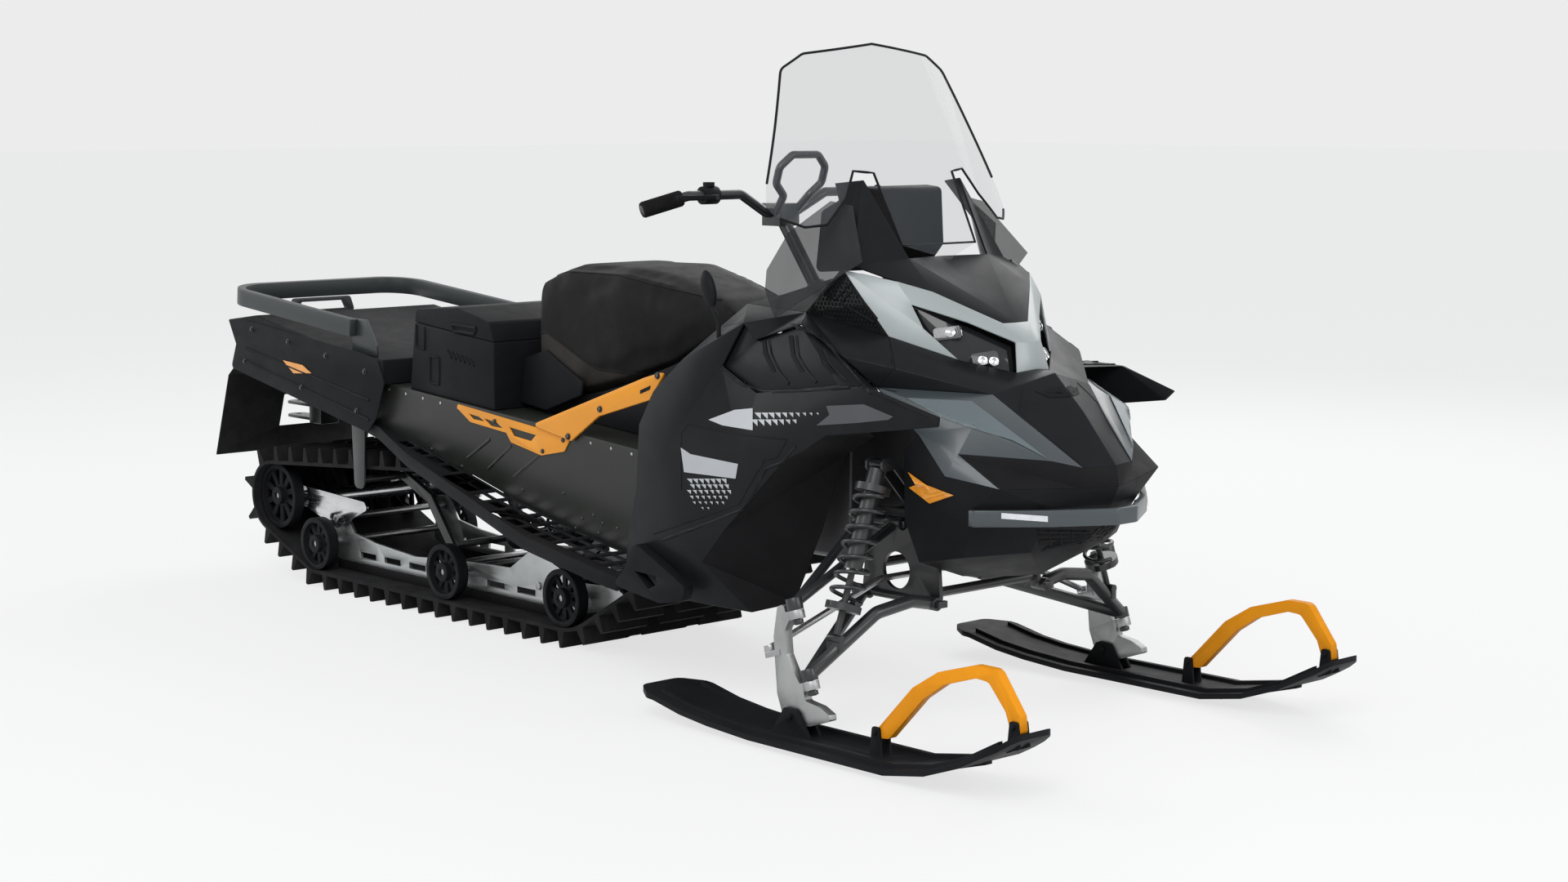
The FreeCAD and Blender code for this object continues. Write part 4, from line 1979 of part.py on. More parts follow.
for i, x in enumerate((damper_top[0] - cheek_apart - s.frame_thick * 0.6, damper_top[0] + cheek_apart)):
    frame_pieces.append(plate(f"tower_cheek_{i}", "YZ_Plane", x, s.frame_thick * 0.6, [tower_outline]))
frame_pieces.append(pin_along("damper_top_pin", damper_top, cheek_apart + s.frame_thick * 0.3,
    s.shaft_radius))
frame_side_set = joined("frame_side_set", frame_pieces)
cross_half = s.frame_half_apart - s.frame_thick * 0.5
cradle_up = s.engine_low - s.fit_gap - s.frame_tube * 0.8
cradle_back = tunnel_front + s.lug_tall
cradle_end = s.frame_rear + s.frame_long * 0.12
crosses = [
    rod("frame_cross_rear", ((cradle_end, -cross_half, cradle_up), (cradle_end, cross_half, cradle_up)),
        s.frame_tube * 0.8),
    rod("cradle_beam", ((cradle_back, -s.tunnel_half_wide - s.frame_thick * 0.5, cradle_up),
                        (cradle_back, s.tunnel_half_wide + s.frame_thick * 0.5, cradle_up)),
                            s.frame_tube * 0.8),
]
for i, side in enumerate((-1, 1)):
    crosses.append(rod(f"cradle_tube_{i}", (
        (cradle_back, side * s.cradle_side, cradle_up), (cradle_end, side * s.cradle_side, cradle_up),
    ), s.frame_tube * 0.8))
cheek_half = s.frame_tube
cradle_cheek = plate("cradle_cheek", "XZ_Plane", s.tunnel_half_wide + s.fit_gap, s.frame_thick * 0.6, [[
    (tunnel_front - s.frame_tube * 2, cradle_up - cheek_half),
        (cradle_back + cheek_half, cradle_up - cheek_half, cheek_half * 0.8),
    (cradle_back + cheek_half, cradle_up + cheek_half, cheek_half * 0.8),
        (tunnel_front - s.frame_tube * 2, cradle_up + cheek_half * 2),
]])
crosses += [cradle_cheek, mirrored("cradle_cheek_left", cradle_cheek)]
for i, (share, up_share) in enumerate(((0.9, 0.15), (0.14, 0.85), (0.86, 0.85))):
    x = s.frame_rear + s.frame_long * share
    z = s.frame_low + s.frame_rise * up_share
    crosses.append(rod(f"frame_cross_{i}", ((x, -cross_half, z), (x, cross_half, z)), s.frame_tube * 0.8))
node("front_frame", joined("frame_module",
    [frame_side_set, mirrored("frame_side_set_left", frame_side_set)] + crosses))
node("steering_support", joined("post_bearings", [foot_sleeve, foot_rest_cut]))
stay_core = rod("stay_core",
    (up_post(upper_sleeve_at - s.sleeve_long.value), up_post(upper_sleeve_at + s.sleeve_long.value * 2)),
        sleeve_bore)
node("steering_stays", cut("stays_with_bore", joined("post_stays", [upper_sleeve] + stays), stay_core))

dash_shares = ((0, 0.05, 1), (0.75, 0.1, 1), (1, 0.36, 1), (0.96, 0.98, 1), (0.72, 1, 1), (0.1, 0.72, 1))
dash = plate(
    "dash", "XZ_Plane", -s.dash_half_wide, s.dash_half_wide * 2,
    [outline(s.dash_rear, s.dash_long, s.dash_low, s.dash_rise, dash_shares, s.frame_tube)],
)
node("dash_gauge", dash)


# Tie rods: one bar between the two steering ears, sliding across

s.add({
    "tie_radius": 7,
    "tie_bend": 30,
    "tie_middle_side": 200,
    "tie_middle_ahead": 960,
    "tie_middle_up": 302,
})
ear_place = along_kingpin(lower_ball, ear_up.value)
ear_place = tuple(place - way * abs(ear_back.value) for place,
    way in zip(ear_place, (kingpin_way.z, 0, -kingpin_way.x)))
eye_low = tuple(place + way * gap for place, way in zip(ear_place, kingpin_way))
eye_high = tuple(place + way * ear_thick.value for place, way in zip(eye_low, kingpin_way))
eye = rod("tie_eye", (eye_low, eye_high), s.joint_radius * 0.75)
eye_middle = tuple((a + b) / 2 for a, b in zip(eye_low, eye_high))
tie_corner = right(s.tie_middle_ahead, s.tie_middle_side, s.tie_middle_up)
tie_corner_left = (tie_corner[0], s.tie_middle_side, tie_corner[2])
eye_middle_left = (eye_middle[0], -eye_middle[1], eye_middle[2])
tie_bar = bent_tube("tie_bar", [eye_middle, tie_corner, tie_corner_left, eye_middle_left], s.tie_radius,
    s.tie_bend)
node("tie_rods", joined("tie_link", [tie_bar, eye, mirrored("tie_eye_left", eye)]))


# Handlebar: post, bar, grab loop, grips and controls

s.add({
    "bar_radius": 11,
    "bar_bend": 26,
    "grip_radius": 17,
    "grip_end_ahead": 402,
    "grip_end_side": 386,
    "grip_end_up": 1066,
    "bar_knee_ahead": 440,
    "bar_knee_side": 285,
    "bar_knee_up": 1096,
    "bar_inner_side": 130,
    "bar_middle_side": 45,
    "bar_middle_up": 1052,
    "clamp_half": 30,
    "loop_radius": 9,
    "loop_bend": 18,
    "loop_half": 70,
    "loop_low": 1092,
    "loop_rise": 92,
    "loop_ahead": 482,
    "loop_lean": 30,
    "switch_radius": 20,
    "switch_long": 40,
    "button_radius": 13,
    "button_tall": 10,
})
bar_points = [
    (s.grip_end_ahead, -s.grip_end_side, s.grip_end_up), (s.bar_knee_ahead, -s.bar_knee_side, s.bar_knee_up),
    (s.bar_knee_ahead, -s.bar_inner_side, s.bar_knee_up),
        (s.post_top_ahead, -s.bar_middle_side, s.bar_middle_up),
]
bar_points += [(x, -y, z) for x, y, z in reversed(bar_points)]
bar = bent_tube("bar", bar_points, s.bar_radius, s.bar_bend)
post = rod("post", (up_post(s.fit_gap.value), up_post(post_long)), s.post_radius)
clamp = box(
    "clamp", (s.post_top_ahead - s.clamp_half, -s.clamp_half, s.bar_middle_up - s.clamp_half),
    (s.clamp_half * 2, s.clamp_half * 2, s.clamp_half * 1.7),
)
loop_points = [
    (s.post_top_ahead + s.clamp_half * 0.5, -s.loop_half * 0.4, s.bar_middle_up),
    (s.loop_ahead, -s.loop_half * 0.55, s.loop_low),
        (s.loop_ahead + s.loop_lean * 0.3, -s.loop_half, s.loop_low + s.loop_rise * 0.3),
    (s.loop_ahead + s.loop_lean * 0.7, -s.loop_half, s.loop_low + s.loop_rise * 0.7),
    (s.loop_ahead + s.loop_lean, -s.loop_half * 0.55, s.loop_low + s.loop_rise),
]
loop_points += [(x, -y, z) for x, y, z in reversed(loop_points)]
grab_loop = bent_tube("grab_loop", loop_points, s.loop_radius, s.loop_bend)
node("handlebar", joined("bar_and_post", [bar, post, clamp, grab_loop]))

grip_inner = tuple(a + (b - a) * 0.86 for a, b in zip(bar_points[0], bar_points[1]))
grip = rod("grip", (bar_points[0], grip_inner), s.grip_radius, s.bar_radius + s.fit_gap)
node("grips", pair("grip_pair", grip))

switch_at = s.bar_knee_side - s.switch_long * 2
switch_ends = [(s.bar_knee_ahead, -(switch_at + s.switch_long * k), s.bar_knee_up) for k in (0, 1)]
switch_block = rod("switch_block", switch_ends, s.switch_radius, s.bar_radius + s.fit_gap)
button_x = s.bar_knee_ahead
button_y = -(switch_at + s.switch_long / 2)
button_base = s.bar_knee_up + s.switch_radius * 0.95
button = rod("stop_button",
    ((button_x, button_y, button_base), (button_x, button_y, button_base + s.button_tall)), s.button_radius)
lever_outline = [
    (s.bar_knee_ahead + s.switch_radius * 0.8, -switch_at),
        (s.bar_knee_ahead + s.switch_radius * 2.4, -switch_at - s.switch_long),
    (s.bar_knee_ahead + s.switch_radius * 1.6, -switch_at - s.switch_long * 3.4),
        (s.bar_knee_ahead + s.switch_radius * 1.2, -switch_at - s.switch_long * 3.4),
    (s.bar_knee_ahead + s.switch_radius * 1.6, -switch_at - s.switch_long),
    (s.bar_knee_ahead + s.switch_radius * 0.75, -switch_at - s.switch_long * 0.6),
]
lever = plate("lever", "XY_Plane", s.bar_knee_up - s.switch_radius * 0.4, s.switch_radius * 0.5,
    [lever_outline])
controls = joined("control", [switch_block, lever])
node("bar_controls", group("control_group",
    [joined("right_control", [controls, button]), mirrored("left_control", controls)]))


# Write the pieces

def write_parts():
    document.recompute()
    broken = []
    for thing in document.Objects:
        if "Invalid" in thing.State or "Error" in thing.State:
            broken.append(f"{thing.Name} {thing.State}")
    broken += [label for label, piece in nodes.items() if piece.Shape.isNull() or not piece.Shape.isValid()]
    if broken:
        raise RuntimeError(f"these failed: {broken}")
    for label, piece in nodes.items():
        piece.Shape.exportStep(f"parts/{label}.step")


write_parts()
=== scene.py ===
import json
import math

import bmesh
import bpy
from mathutils import Euler, Matrix, Vector
from mathutils.bvhtree import BVHTree

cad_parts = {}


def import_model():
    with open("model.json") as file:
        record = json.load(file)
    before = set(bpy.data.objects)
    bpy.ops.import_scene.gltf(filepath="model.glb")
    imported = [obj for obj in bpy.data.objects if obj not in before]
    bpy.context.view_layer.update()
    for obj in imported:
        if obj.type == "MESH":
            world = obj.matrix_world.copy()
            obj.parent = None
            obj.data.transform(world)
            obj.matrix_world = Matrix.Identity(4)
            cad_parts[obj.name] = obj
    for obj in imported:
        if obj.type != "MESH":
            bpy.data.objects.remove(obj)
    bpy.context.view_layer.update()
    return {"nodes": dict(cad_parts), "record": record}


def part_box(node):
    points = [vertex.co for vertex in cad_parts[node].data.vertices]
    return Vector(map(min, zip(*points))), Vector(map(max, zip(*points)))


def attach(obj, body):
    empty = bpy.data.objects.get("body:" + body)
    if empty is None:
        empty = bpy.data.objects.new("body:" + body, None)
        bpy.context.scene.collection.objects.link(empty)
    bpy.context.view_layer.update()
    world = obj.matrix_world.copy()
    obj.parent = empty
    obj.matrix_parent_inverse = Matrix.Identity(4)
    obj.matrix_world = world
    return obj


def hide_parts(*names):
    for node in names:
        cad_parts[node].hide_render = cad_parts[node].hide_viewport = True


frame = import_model()

UP = Vector((0, 0, 1))
WELD = 0.00002  # vertices nearer than this are one
PLASTIC_GRAIN, RUBBER_GRAIN, HIDE_GRAIN, METAL_GRAIN = 900, 420, 520, 420


# Materials

def shader(name, colour, rough, metallic=0.0, **sockets):
    """A material with its plain values on the shader's own sockets."""
    material = bpy.data.materials.new(name)
    material.use_nodes = True
    surface = material.node_tree.nodes["Principled BSDF"]
    surface.inputs["Base Color"].default_value = (*colour, 1)
    surface.inputs["Roughness"].default_value = rough
    surface.inputs["Metallic"].default_value = metallic
    for socket, value in sockets.items():
        surface.inputs[socket.replace("_", " ")].default_value = value
    return material, material.node_tree, surface


def object_place(tree):
    """The surface's place on its own object, in metres."""
    return tree.nodes.new("ShaderNodeTexCoord").outputs["Object"]


def noise(tree, scale, detail=2.0, rough=0.5):
    texture = tree.nodes.new("ShaderNodeTexNoise")
    texture.inputs["Scale"].default_value = scale
    texture.inputs["Detail"].default_value = detail
    texture.inputs["Roughness"].default_value = rough
    tree.links.new(object_place(tree), texture.inputs["Vector"])
    return texture.outputs["Fac"]


def ramp(tree, value, stops):
    """A colour ramp through the stops, each a place and a colour."""
    node = tree.nodes.new("ShaderNodeValToRGB")
    elements = node.color_ramp.elements
    while len(elements) < len(stops):
        elements.new(0.5)
    for element, (place, colour) in zip(elements, stops):
        element.position = place
        element.color = (*colour, 1)
    tree.links.new(value, node.inputs["Fac"])
    return node.outputs["Color"]


def vary(tree, surface, colour, spread, scale):
    """Uneven colour: cloudy shade, and faint dust that gathers in patches."""
    low = tuple(c * (1 - spread) for c in colour)
    high = tuple(min(1, c * (1 + spread) + spread * 0.012) for c in colour)
    cloudy = ramp(tree, noise(tree, scale, 5, 0.62), ((0.34, low), (0.68, high)))
    tree.links.new(cloudy, surface.inputs["Base Color"])


def uneven_gloss(tree, surface, rough, spread, scale):
    values = ((0.3, (rough - spread,) * 3), (0.72, (rough + spread,) * 3))
    tree.links.new(ramp(tree, noise(tree, scale, 4, 0.6), values), surface.inputs["Roughness"])


def bump(tree, surface, height, strength, distance):
    node = tree.nodes.new("ShaderNodeBump")
    node.inputs["Strength"].default_value = strength
    node.inputs["Distance"].default_value = distance
    tree.links.new(height, node.inputs["Height"])
    tree.links.new(node.outputs["Normal"], surface.inputs["Normal"])


def plastic(name, colour, rough, depth=0.25, spread=0.14, **sockets):
    """Moulded plastic with a fine spark-eroded grain."""
    material, tree, surface = shader(name, colour, rough, **sockets)
    surface.inputs["Specular IOR Level"].default_value = 0.09
    vary(tree, surface, colour, spread, 7)
    uneven_gloss(tree, surface, rough, 0.06, 16)
    bump(tree, surface, noise(tree, PLASTIC_GRAIN, 1, 0.4), depth, 0.0004)
    return material


def paint(name, colour, rough, coat):
    """Sprayed paint under a thin clear coat."""
    material, tree, surface = shader(name, colour, rough, Coat_Weight=coat, Coat_Roughness=0.12)
    vary(tree, surface, colour, 0.06, 4)
    uneven_gloss(tree, surface, rough, 0.05, 11)
    bump(tree, surface, noise(tree, 260, 1, 0.3), 0.05, 0.0005)
    return material


def metal(name, colour, rough, brushed=(1, 1, 1), depth=0.12):
    """Metal with fine marks, stretched along one axis where it is brushed or drawn."""
    material, tree, surface = shader(name, colour, rough, metallic=1.0)
    vary(tree, surface, colour, 0.1, 9)
    mapping = tree.nodes.new("ShaderNodeMapping")
    mapping.inputs["Scale"].default_value = brushed
    tree.links.new(object_place(tree), mapping.inputs["Vector"])
    marks = tree.nodes.new("ShaderNodeTexNoise")
    marks.inputs["Scale"].default_value = METAL_GRAIN
    marks.inputs["Detail"].default_value = 3
    tree.links.new(mapping.outputs["Vector"], marks.inputs["Vector"])
    bump(tree, surface, marks.outputs["Fac"], depth, 0.0004)
    values = ((0.32, (rough - 0.08,) * 3), (0.7, (rough + 0.1,) * 3))
    tree.links.new(ramp(tree, marks.outputs["Fac"], values), surface.inputs["Roughness"])
    return material


def rubber(name, colour, rough=0.78):
    material, tree, surface = shader(name, colour, rough)
    surface.inputs["Specular IOR Level"].default_value = 0.08
    vary(tree, surface, colour, 0.3, 12)
    uneven_gloss(tree, surface, rough, 0.08, 20)
    bump(tree, surface, noise(tree, RUBBER_GRAIN, 3, 0.6), 0.4, 0.0006)
    return material


def hide(name, colour, rough):
    """A grained seat cover: small pebbles with creases between them."""
    material, tree, surface = shader(name, colour, rough, Sheen_Weight=0.02, Sheen_Roughness=0.5)
    surface.inputs["Specular IOR Level"].default_value = 0.12
    vary(tree, surface, colour, 0.2, 8)
    uneven_gloss(tree, surface, rough, 0.07, 24)
    pebbles = tree.nodes.new("ShaderNodeTexVoronoi")
    pebbles.feature = "DISTANCE_TO_EDGE"
    pebbles.inputs["Scale"].default_value = HIDE_GRAIN
    tree.links.new(object_place(tree), pebbles.inputs["Vector"])
    bump(tree, surface, pebbles.outputs["Distance"], 0.5, 0.0007)
    return material


def clear(name, colour, rough, alpha):
    """Clear or smoked plastic sheet."""
    material, tree, surface = shader(name, colour, rough, Alpha=alpha)
    surface.inputs["Specular IOR Level"].default_value = 0.1
    uneven_gloss(tree, surface, rough + 0.02, 0.02, 30)
    return material


def lens_cover(name, colour, rough, glow=0.0):
    """Moulded lens: small ribs under a clear surface, shining by itself at the strength of glow."""
    material, tree, surface = shader(name, colour, rough, Coat_Weight=1.0, Coat_Roughness=0.03)
    ribs = tree.nodes.new("ShaderNodeTexWave")
    ribs.bands_direction = "Y"
    ribs.inputs["Scale"].default_value = 90
    tree.links.new(object_place(tree), ribs.inputs["Vector"])
    bump(tree, surface, ribs.outputs["Fac"], 0.35, 0.001)
    vary(tree, surface, colour, 0.12, 30)
    # The glow: a lens that is no lamp shines by itself here, a painted glow
    surface.inputs["Emission Color"].default_value = (*colour, 1)
    surface.inputs["Emission Strength"].default_value = glow
    return material


BLACK = plastic("black_plastic", (0.0105, 0.011, 0.0125), 0.54)
DEEP_BLACK = plastic("deep_black_plastic", (0.011, 0.011, 0.012), 0.62)
SATIN_BLACK = plastic(
    "satin_black_plastic", (0.0105, 0.0115, 0.0135), 0.42, depth=0.1, Coat_Weight=0.05, Coat_Roughness=0.2,
)
GLOSS_BLACK = plastic(
    "gloss_black_plastic", (0.013, 0.014, 0.016), 0.16, depth=0.03, Coat_Weight=0.8, Coat_Roughness=0.05,
)
SLATE = paint("slate_paint", (0.05, 0.063, 0.07), 0.38, 0.25)
LIGHT_GREY = paint("light_grey_paint", (0.37, 0.405, 0.405), 0.36, 0.2)
ORANGE_PAINT = paint("orange_paint", (0.95, 0.36, 0.012), 0.4, 0.12)
ORANGE_PLASTIC = plastic("orange_plastic", (0.92, 0.34, 0.012), 0.45, depth=0.12, spread=0.08)
RACK = paint("rack_paint", (0.03, 0.037, 0.037), 0.46, 0.1)
TUNNEL = paint("tunnel_paint", (0.013, 0.015, 0.0125), 0.46, 0.03)
BLACK_STEEL = paint("black_steel_paint", (0.019, 0.02, 0.022), 0.38, 0.2)
STEEL = metal("plain_steel", (0.4, 0.4, 0.41), 0.34)
DRAWN = metal("drawn_alloy", (0.44, 0.46, 0.46), 0.42, (0.04, 1, 1))
POLISHED = metal("polished_alloy", (0.62, 0.63, 0.64), 0.2, (0.05, 1, 1), 0.05)
CAST = metal("cast_alloy", (0.38, 0.39, 0.39), 0.48, depth=0.5)
ENGINE = metal("engine_casting", (0.1, 0.1, 0.105), 0.55, depth=0.6)
TRACK_RUBBER = rubber("track_rubber", (0.021, 0.021, 0.022))
FLAP_RUBBER = rubber("flap_rubber", (0.014, 0.014, 0.015), 0.6)
GRIP_RUBBER = rubber("grip_rubber", (0.013, 0.013, 0.013), 0.72)
HIDE = hide("seat_cover", (0.0095, 0.0095, 0.01), 0.62)
HIDE_BAND = hide("seat_band", (0.034, 0.031, 0.028), 0.62)
GLASS = clear("windshield_plastic", (0.2, 0.22, 0.24), 0.02, 0.1)
SMOKE = clear("smoked_plastic", (0.045, 0.046, 0.048), 0.06, 0.55)
# Painted glow: the amber lens shines by itself, on the marker lenses and also on the tail reflectors, which are no
# lamp
GLOWING_AMBER = lens_cover("amber_lens", (0.86, 0.33, 0.03), 0.14, 0.08)
RED = lens_cover("red_lens", (0.5, 0.012, 0.014), 0.14, 0.05)
LAMP = lens_cover("lamp_lens", (0.05, 0.055, 0.06), 0.06)


# Pieces

def piece(name, mesh, material, body="chassis", smooth=None):
    """Puts a mesh in the scene as a piece of a body; smooth is the angle up to which it is shaded smooth."""
    obj = bpy.data.objects.new(name, mesh)
    bpy.context.scene.collection.objects.link(obj)
    mesh.materials.clear()
    mesh.materials.append(material)
    if smooth is not None:
        shade(obj, smooth)
    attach(obj, body)
    return obj


def shade(obj, degrees):
    mesh = obj.data
    mesh.shade_smooth()
    mesh.set_sharp_from_angle(angle=math.radians(degrees))


def apply_modifiers(obj):
    """Turns the object's modifiers into its mesh."""
    graph = bpy.context.evaluated_depsgraph_get()
    mesh = bpy.data.meshes.new_from_object(obj.evaluated_get(graph))
    obj.modifiers.clear()
    obj.data = mesh
    return obj


def mesh_from(name, build):
    """A mesh that a function fills through bmesh."""
    form = bmesh.new()
    build(form)
    bmesh.ops.recalc_face_normals(form, faces=form.faces)
    mesh = bpy.data.meshes.new(name)
    form.to_mesh(mesh)
    form.free()
    return mesh


def node_mesh(node):
    """A tidy copy of a CAD node's mesh, welded."""
    form = bmesh.new()
    form.from_mesh(bpy.data.objects[frame["nodes"][node].name].data)
    bmesh.ops.remove_doubles(form, verts=form.verts, dist=WELD)
    return form


FLAT, EDGE, CREASE = 0.6, 28, 34  # degrees: faces joined below, edges rounded above, edges kept sharp above


def body_of(node):
    for body, nodes in frame["record"]["behaviour"]["bodies"].items():
        if node in nodes:
            return body
    return "chassis"


def dressed(node, material, width):
    """A copy of a CAD node with its edges rounded by a width, which stands for the node."""
    form = node_mesh(node)
    bmesh.ops.dissolve_limit(
        form, angle_limit=math.radians(FLAT), verts=form.verts, edges=form.edges, delimit=set(),
    )
    mesh = bpy.data.meshes.new(node + "_body")
    form.to_mesh(mesh)
    form.free()
    obj = piece(node + "_body", mesh, material, body_of(node))
    edge = obj.modifiers.new("edge", "BEVEL")
    edge.width = width
    edge.segments = 2
    edge.limit_method = "ANGLE"
    edge.angle_limit = math.radians(EDGE)
    edge.use_clamp_overlap = True
    edge.harden_normals = False
    edge.miter_outer = "MITER_ARC"
    apply_modifiers(obj)
    shade(obj, CREASE)
    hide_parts(node)
    return obj


# Each rigid node with its material and how far its edges are rounded, in metres
DRESS = {
    "skid_rails": (DRAWN, 0.0008), "slide_shoes": (DEEP_BLACK, 0.001),
    "skid_cross_shafts": (STEEL, 0.001), "idler_wheels": (BLACK, 0.0014),
    "rear_axle_arm": (POLISHED, 0.0012), "skid_arms": (BLACK_STEEL, 0.0012),
    "drive_axle": (STEEL, 0.001), "tunnel": (TUNNEL, 0.0008),
    "suspension_hangers": (BLACK_STEEL, 0.0008), "running_boards": (BLACK, 0.0009),
    "tail_panels": (BLACK, 0.0016), "rear_deck": (BLACK, 0.004), "rack_rail": (RACK, 0.003),
    "snow_flap": (FLAP_RUBBER, 0.0018), "hitch": (BLACK_STEEL, 0.002), "tail_lamp": (RED, 0.004),
    "cargo_box": (BLACK, 0.005), "cargo_lid": (BLACK, 0.006), "seat_base": (BLACK, 0.003),
    "seat_side_covers": (BLACK, 0.003), "frame_braces": (ORANGE_PAINT, 0.0016),
    "tunnel_trims": (ORANGE_PAINT, 0.0009), "suspension_arms": (BLACK_STEEL, 0.0012),
    "hood": (SATIN_BLACK, 0.0018), "lamp_surround": (LIGHT_GREY, 0.0016),
    "lamp_housings": (GLOSS_BLACK, 0.001), "visor": (SATIN_BLACK, 0.0014),
    "inlet_grilles": (DEEP_BLACK, 0.0012), "shoulder_panels": (SATIN_BLACK, 0.0018),
    "vent_panels": (SATIN_BLACK, 0.0014), "side_panels": (SATIN_BLACK, 0.0018),
    "wheel_bay_walls": (DEEP_BLACK, 0.001), "nose_fairings": (SLATE, 0.0018),
    "nose_intakes": (DEEP_BLACK, 0.001), "belly_pan": (BLACK, 0.002), "console": (SATIN_BLACK, 0.002),
    "front_bumper": (SLATE, 0.003), "marker_lenses": (GLOWING_AMBER, 0.0012), "headlamps": (LAMP, 0.002),
    "side_deflectors": (SMOKE, 0.0008), "engine_block": (ENGINE, 0.006),
    "front_frame": (BLACK_STEEL, 0.0012), "steering_support": (BLACK_STEEL, 0.0012),
    "steering_stays": (BLACK_STEEL, 0.001), "dash_gauge": (DEEP_BLACK, 0.004),
    "handlebar": (BLACK_STEEL, 0.001), "bar_controls": (BLACK, 0.0014), "tie_rods": (STEEL, 0.001),
    "knuckle_right": (CAST, 0.002), "knuckle_left": (CAST, 0.002), "ski_right": (BLACK, 0.002),
    "ski_left": (BLACK, 0.002), "ski_handle_right": (ORANGE_PLASTIC, 0.0036),
    "ski_handle_left": (ORANGE_PLASTIC, 0.0036), "grips": (GRIP_RUBBER, 0.002),
}
dressed_nodes = {node: dressed(node, *finish) for node, finish in DRESS.items()}

for node, material in (
    ("track", TRACK_RUBBER), ("skid_damper", BLACK_STEEL), ("front_dampers", BLACK_STEEL),
    ("windshield", GLASS), ("seat_cushion", HIDE),
):
    for place in frame["nodes"][node].material_slots:
        place.material = material


# Ways of adding detail

trees = {}


def tree_of(obj):
    if obj.name not in trees:
        form = bmesh.new()
        form.from_mesh(obj.data)
        trees[obj.name] = BVHTree.FromBMesh(form)
        form.free()
    return trees[obj.name]


def cast(obj, start, way):
    """Where a ray first meets a piece, and the surface's direction there; None when it misses."""
    place, normal = tree_of(obj).ray_cast(Vector(start), Vector(way).normalized())[:2]
    return (place, normal) if place is not None else None


def from_side(obj, x, z, side):
    """The piece's outermost place at x and z, seen from one side."""
    return cast(obj, (x, side * 2, z), (0, -side, 0))


def frame_for(way):
    """Two directions across a way."""
    way = Vector(way).normalized()
    across = way.cross(UP if abs(way.z) < 0.9 else Vector((1, 0, 0))).normalized()
    return across, way.cross(across).normalized()


def add_turned(form, base, way, profile, sides=16):
    """A turned form: the profile holds pairs of height along the way and radius."""
    across, up = frame_for(way)
    way = Vector(way).normalized()
    rings = []
    for height, radius in profile:
        centre = Vector(base) + way * height
        if radius == 0:
            rings.append([form.verts.new(centre)])
            continue
        rings.append([
            form.verts.new(centre + (across * math.cos(a) + up * math.sin(a)) * radius)
            for a in (2 * math.pi * i / sides for i in range(sides))
        ])
    for low, high in zip(rings, rings[1:]):
        for i in range(sides):
            corners = [low[i % len(low)], low[(i + 1) % len(low)], high[(i + 1) % len(high)], high[i % len(high)]]
            unique = list(dict.fromkeys(corners))
            if len(unique) > 2:
                form.faces.new(unique)


def add_bolt(form, place, way, radius):
    """A flanged six-sided head that stands on a surface."""
    add_turned(form, Vector(place) - Vector(way).normalized() * radius * 0.3, way, (
        (0, radius * 1.35), (radius * 0.5, radius * 1.35), (radius * 0.62, radius * 1.1),
    ), 18)
    add_turned(form, place, way, (
        (radius * 0.2, radius), (radius * 0.85, radius), (radius, radius * 0.84),
        (radius * 0.9, radius * 0.5), (radius * 0.9, 0),
    ), 6)


def add_rivet(form, place, way, radius):
    add_turned(form, Vector(place) - Vector(way).normalized() * radius * 0.2, way, (
        (0, radius), (radius * 0.45, radius * 0.86), (radius * 0.66, radius * 0.45), (radius * 0.72, 0),
    ), 12)


def add_tube(form, places, radius, sides):
    """A tube of even radius through places, with its ends capped."""
    last = len(places) - 1
    rings = []
    up = None
    for i, place in enumerate(places):
        way = (places[min(i + 1, last)] - places[max(i - 1, 0)]).normalized()
        if up is None:
            up = frame_for(way)[1]
        up = (up - way * up.dot(way)).normalized()
        across = way.cross(up)
        rings.append([
            form.verts.new(place + (across * math.cos(a) + up * math.sin(a)) * radius)
            for a in (2 * math.pi * k / sides for k in range(sides))
        ])
    for low, high in zip(rings, rings[1:]):
        for k in range(sides):
            form.faces.new((low[k], low[(k + 1) % sides], high[(k + 1) % sides], high[k]))
    form.faces.new(rings[0][::-1])
    form.faces.new(rings[-1])


def along(corners, step):
    """Places along a chain of corners, a step apart."""
    places = []
    for a, b in zip(corners, corners[1:]):
        a, b = Vector(a), Vector(b)
        count = max(1, round((b - a).length / step))
        places += [a.lerp(b, i / count) for i in range(count)]
    return places + [Vector(corners[-1])]


def inside(point, loop):
    """Whether a flat point lies inside a closed loop."""
    hit = False
    for (ax, ay), (bx, by) in zip(loop, loop[1:] + loop[:1]):
        if (ay > point[1]) != (by > point[1]) and point[0] < (bx - ax) * (point[1] - ay) / (by - ay) + ax:
            hit = not hit
    return hit


# The photograph's camera, solved from it: place, direction, lens and sensor width; and its frame in pixels
EYE = Vector((4.8649, -4.0788, 1.3003))
EYE_TURN = Euler((math.radians(82.691), 0, math.radians(47.322)))
EYE_LENS = 60.65
EYE_WIDE = 36
PHOTO_WIDE, PHOTO_HIGH = 1920, 1080
BEAD_STEP = 5  # pixels between the places of a bead
FILM_JUMP = 0.16  # metres; a cell that is wider has fallen over an edge


def seen(targets, across, down):
    """Where the photograph's view meets the first of the pieces, at a pixel of its frame."""
    spread = EYE_WIDE / EYE_LENS / PHOTO_WIDE
    way = EYE_TURN.to_matrix() @ Vector(((across - PHOTO_WIDE / 2) * spread, (PHOTO_HIGH / 2 - down) * spread, -1))
    hits = [cast(target, EYE, way) for target in targets]
    hits = [hit for hit in hits if hit]
    return min(hits, key=lambda hit: (hit[0] - EYE).length) if hits else None


def other_side(form):
    """Adds the same faces again on the machine's other side."""
    copies = {vert: form.verts.new((vert.co.x, -vert.co.y, vert.co.z)) for vert in form.verts[:]}
    for face in form.faces[:]:
        form.faces.new([copies[vert] for vert in reversed(face.verts)])


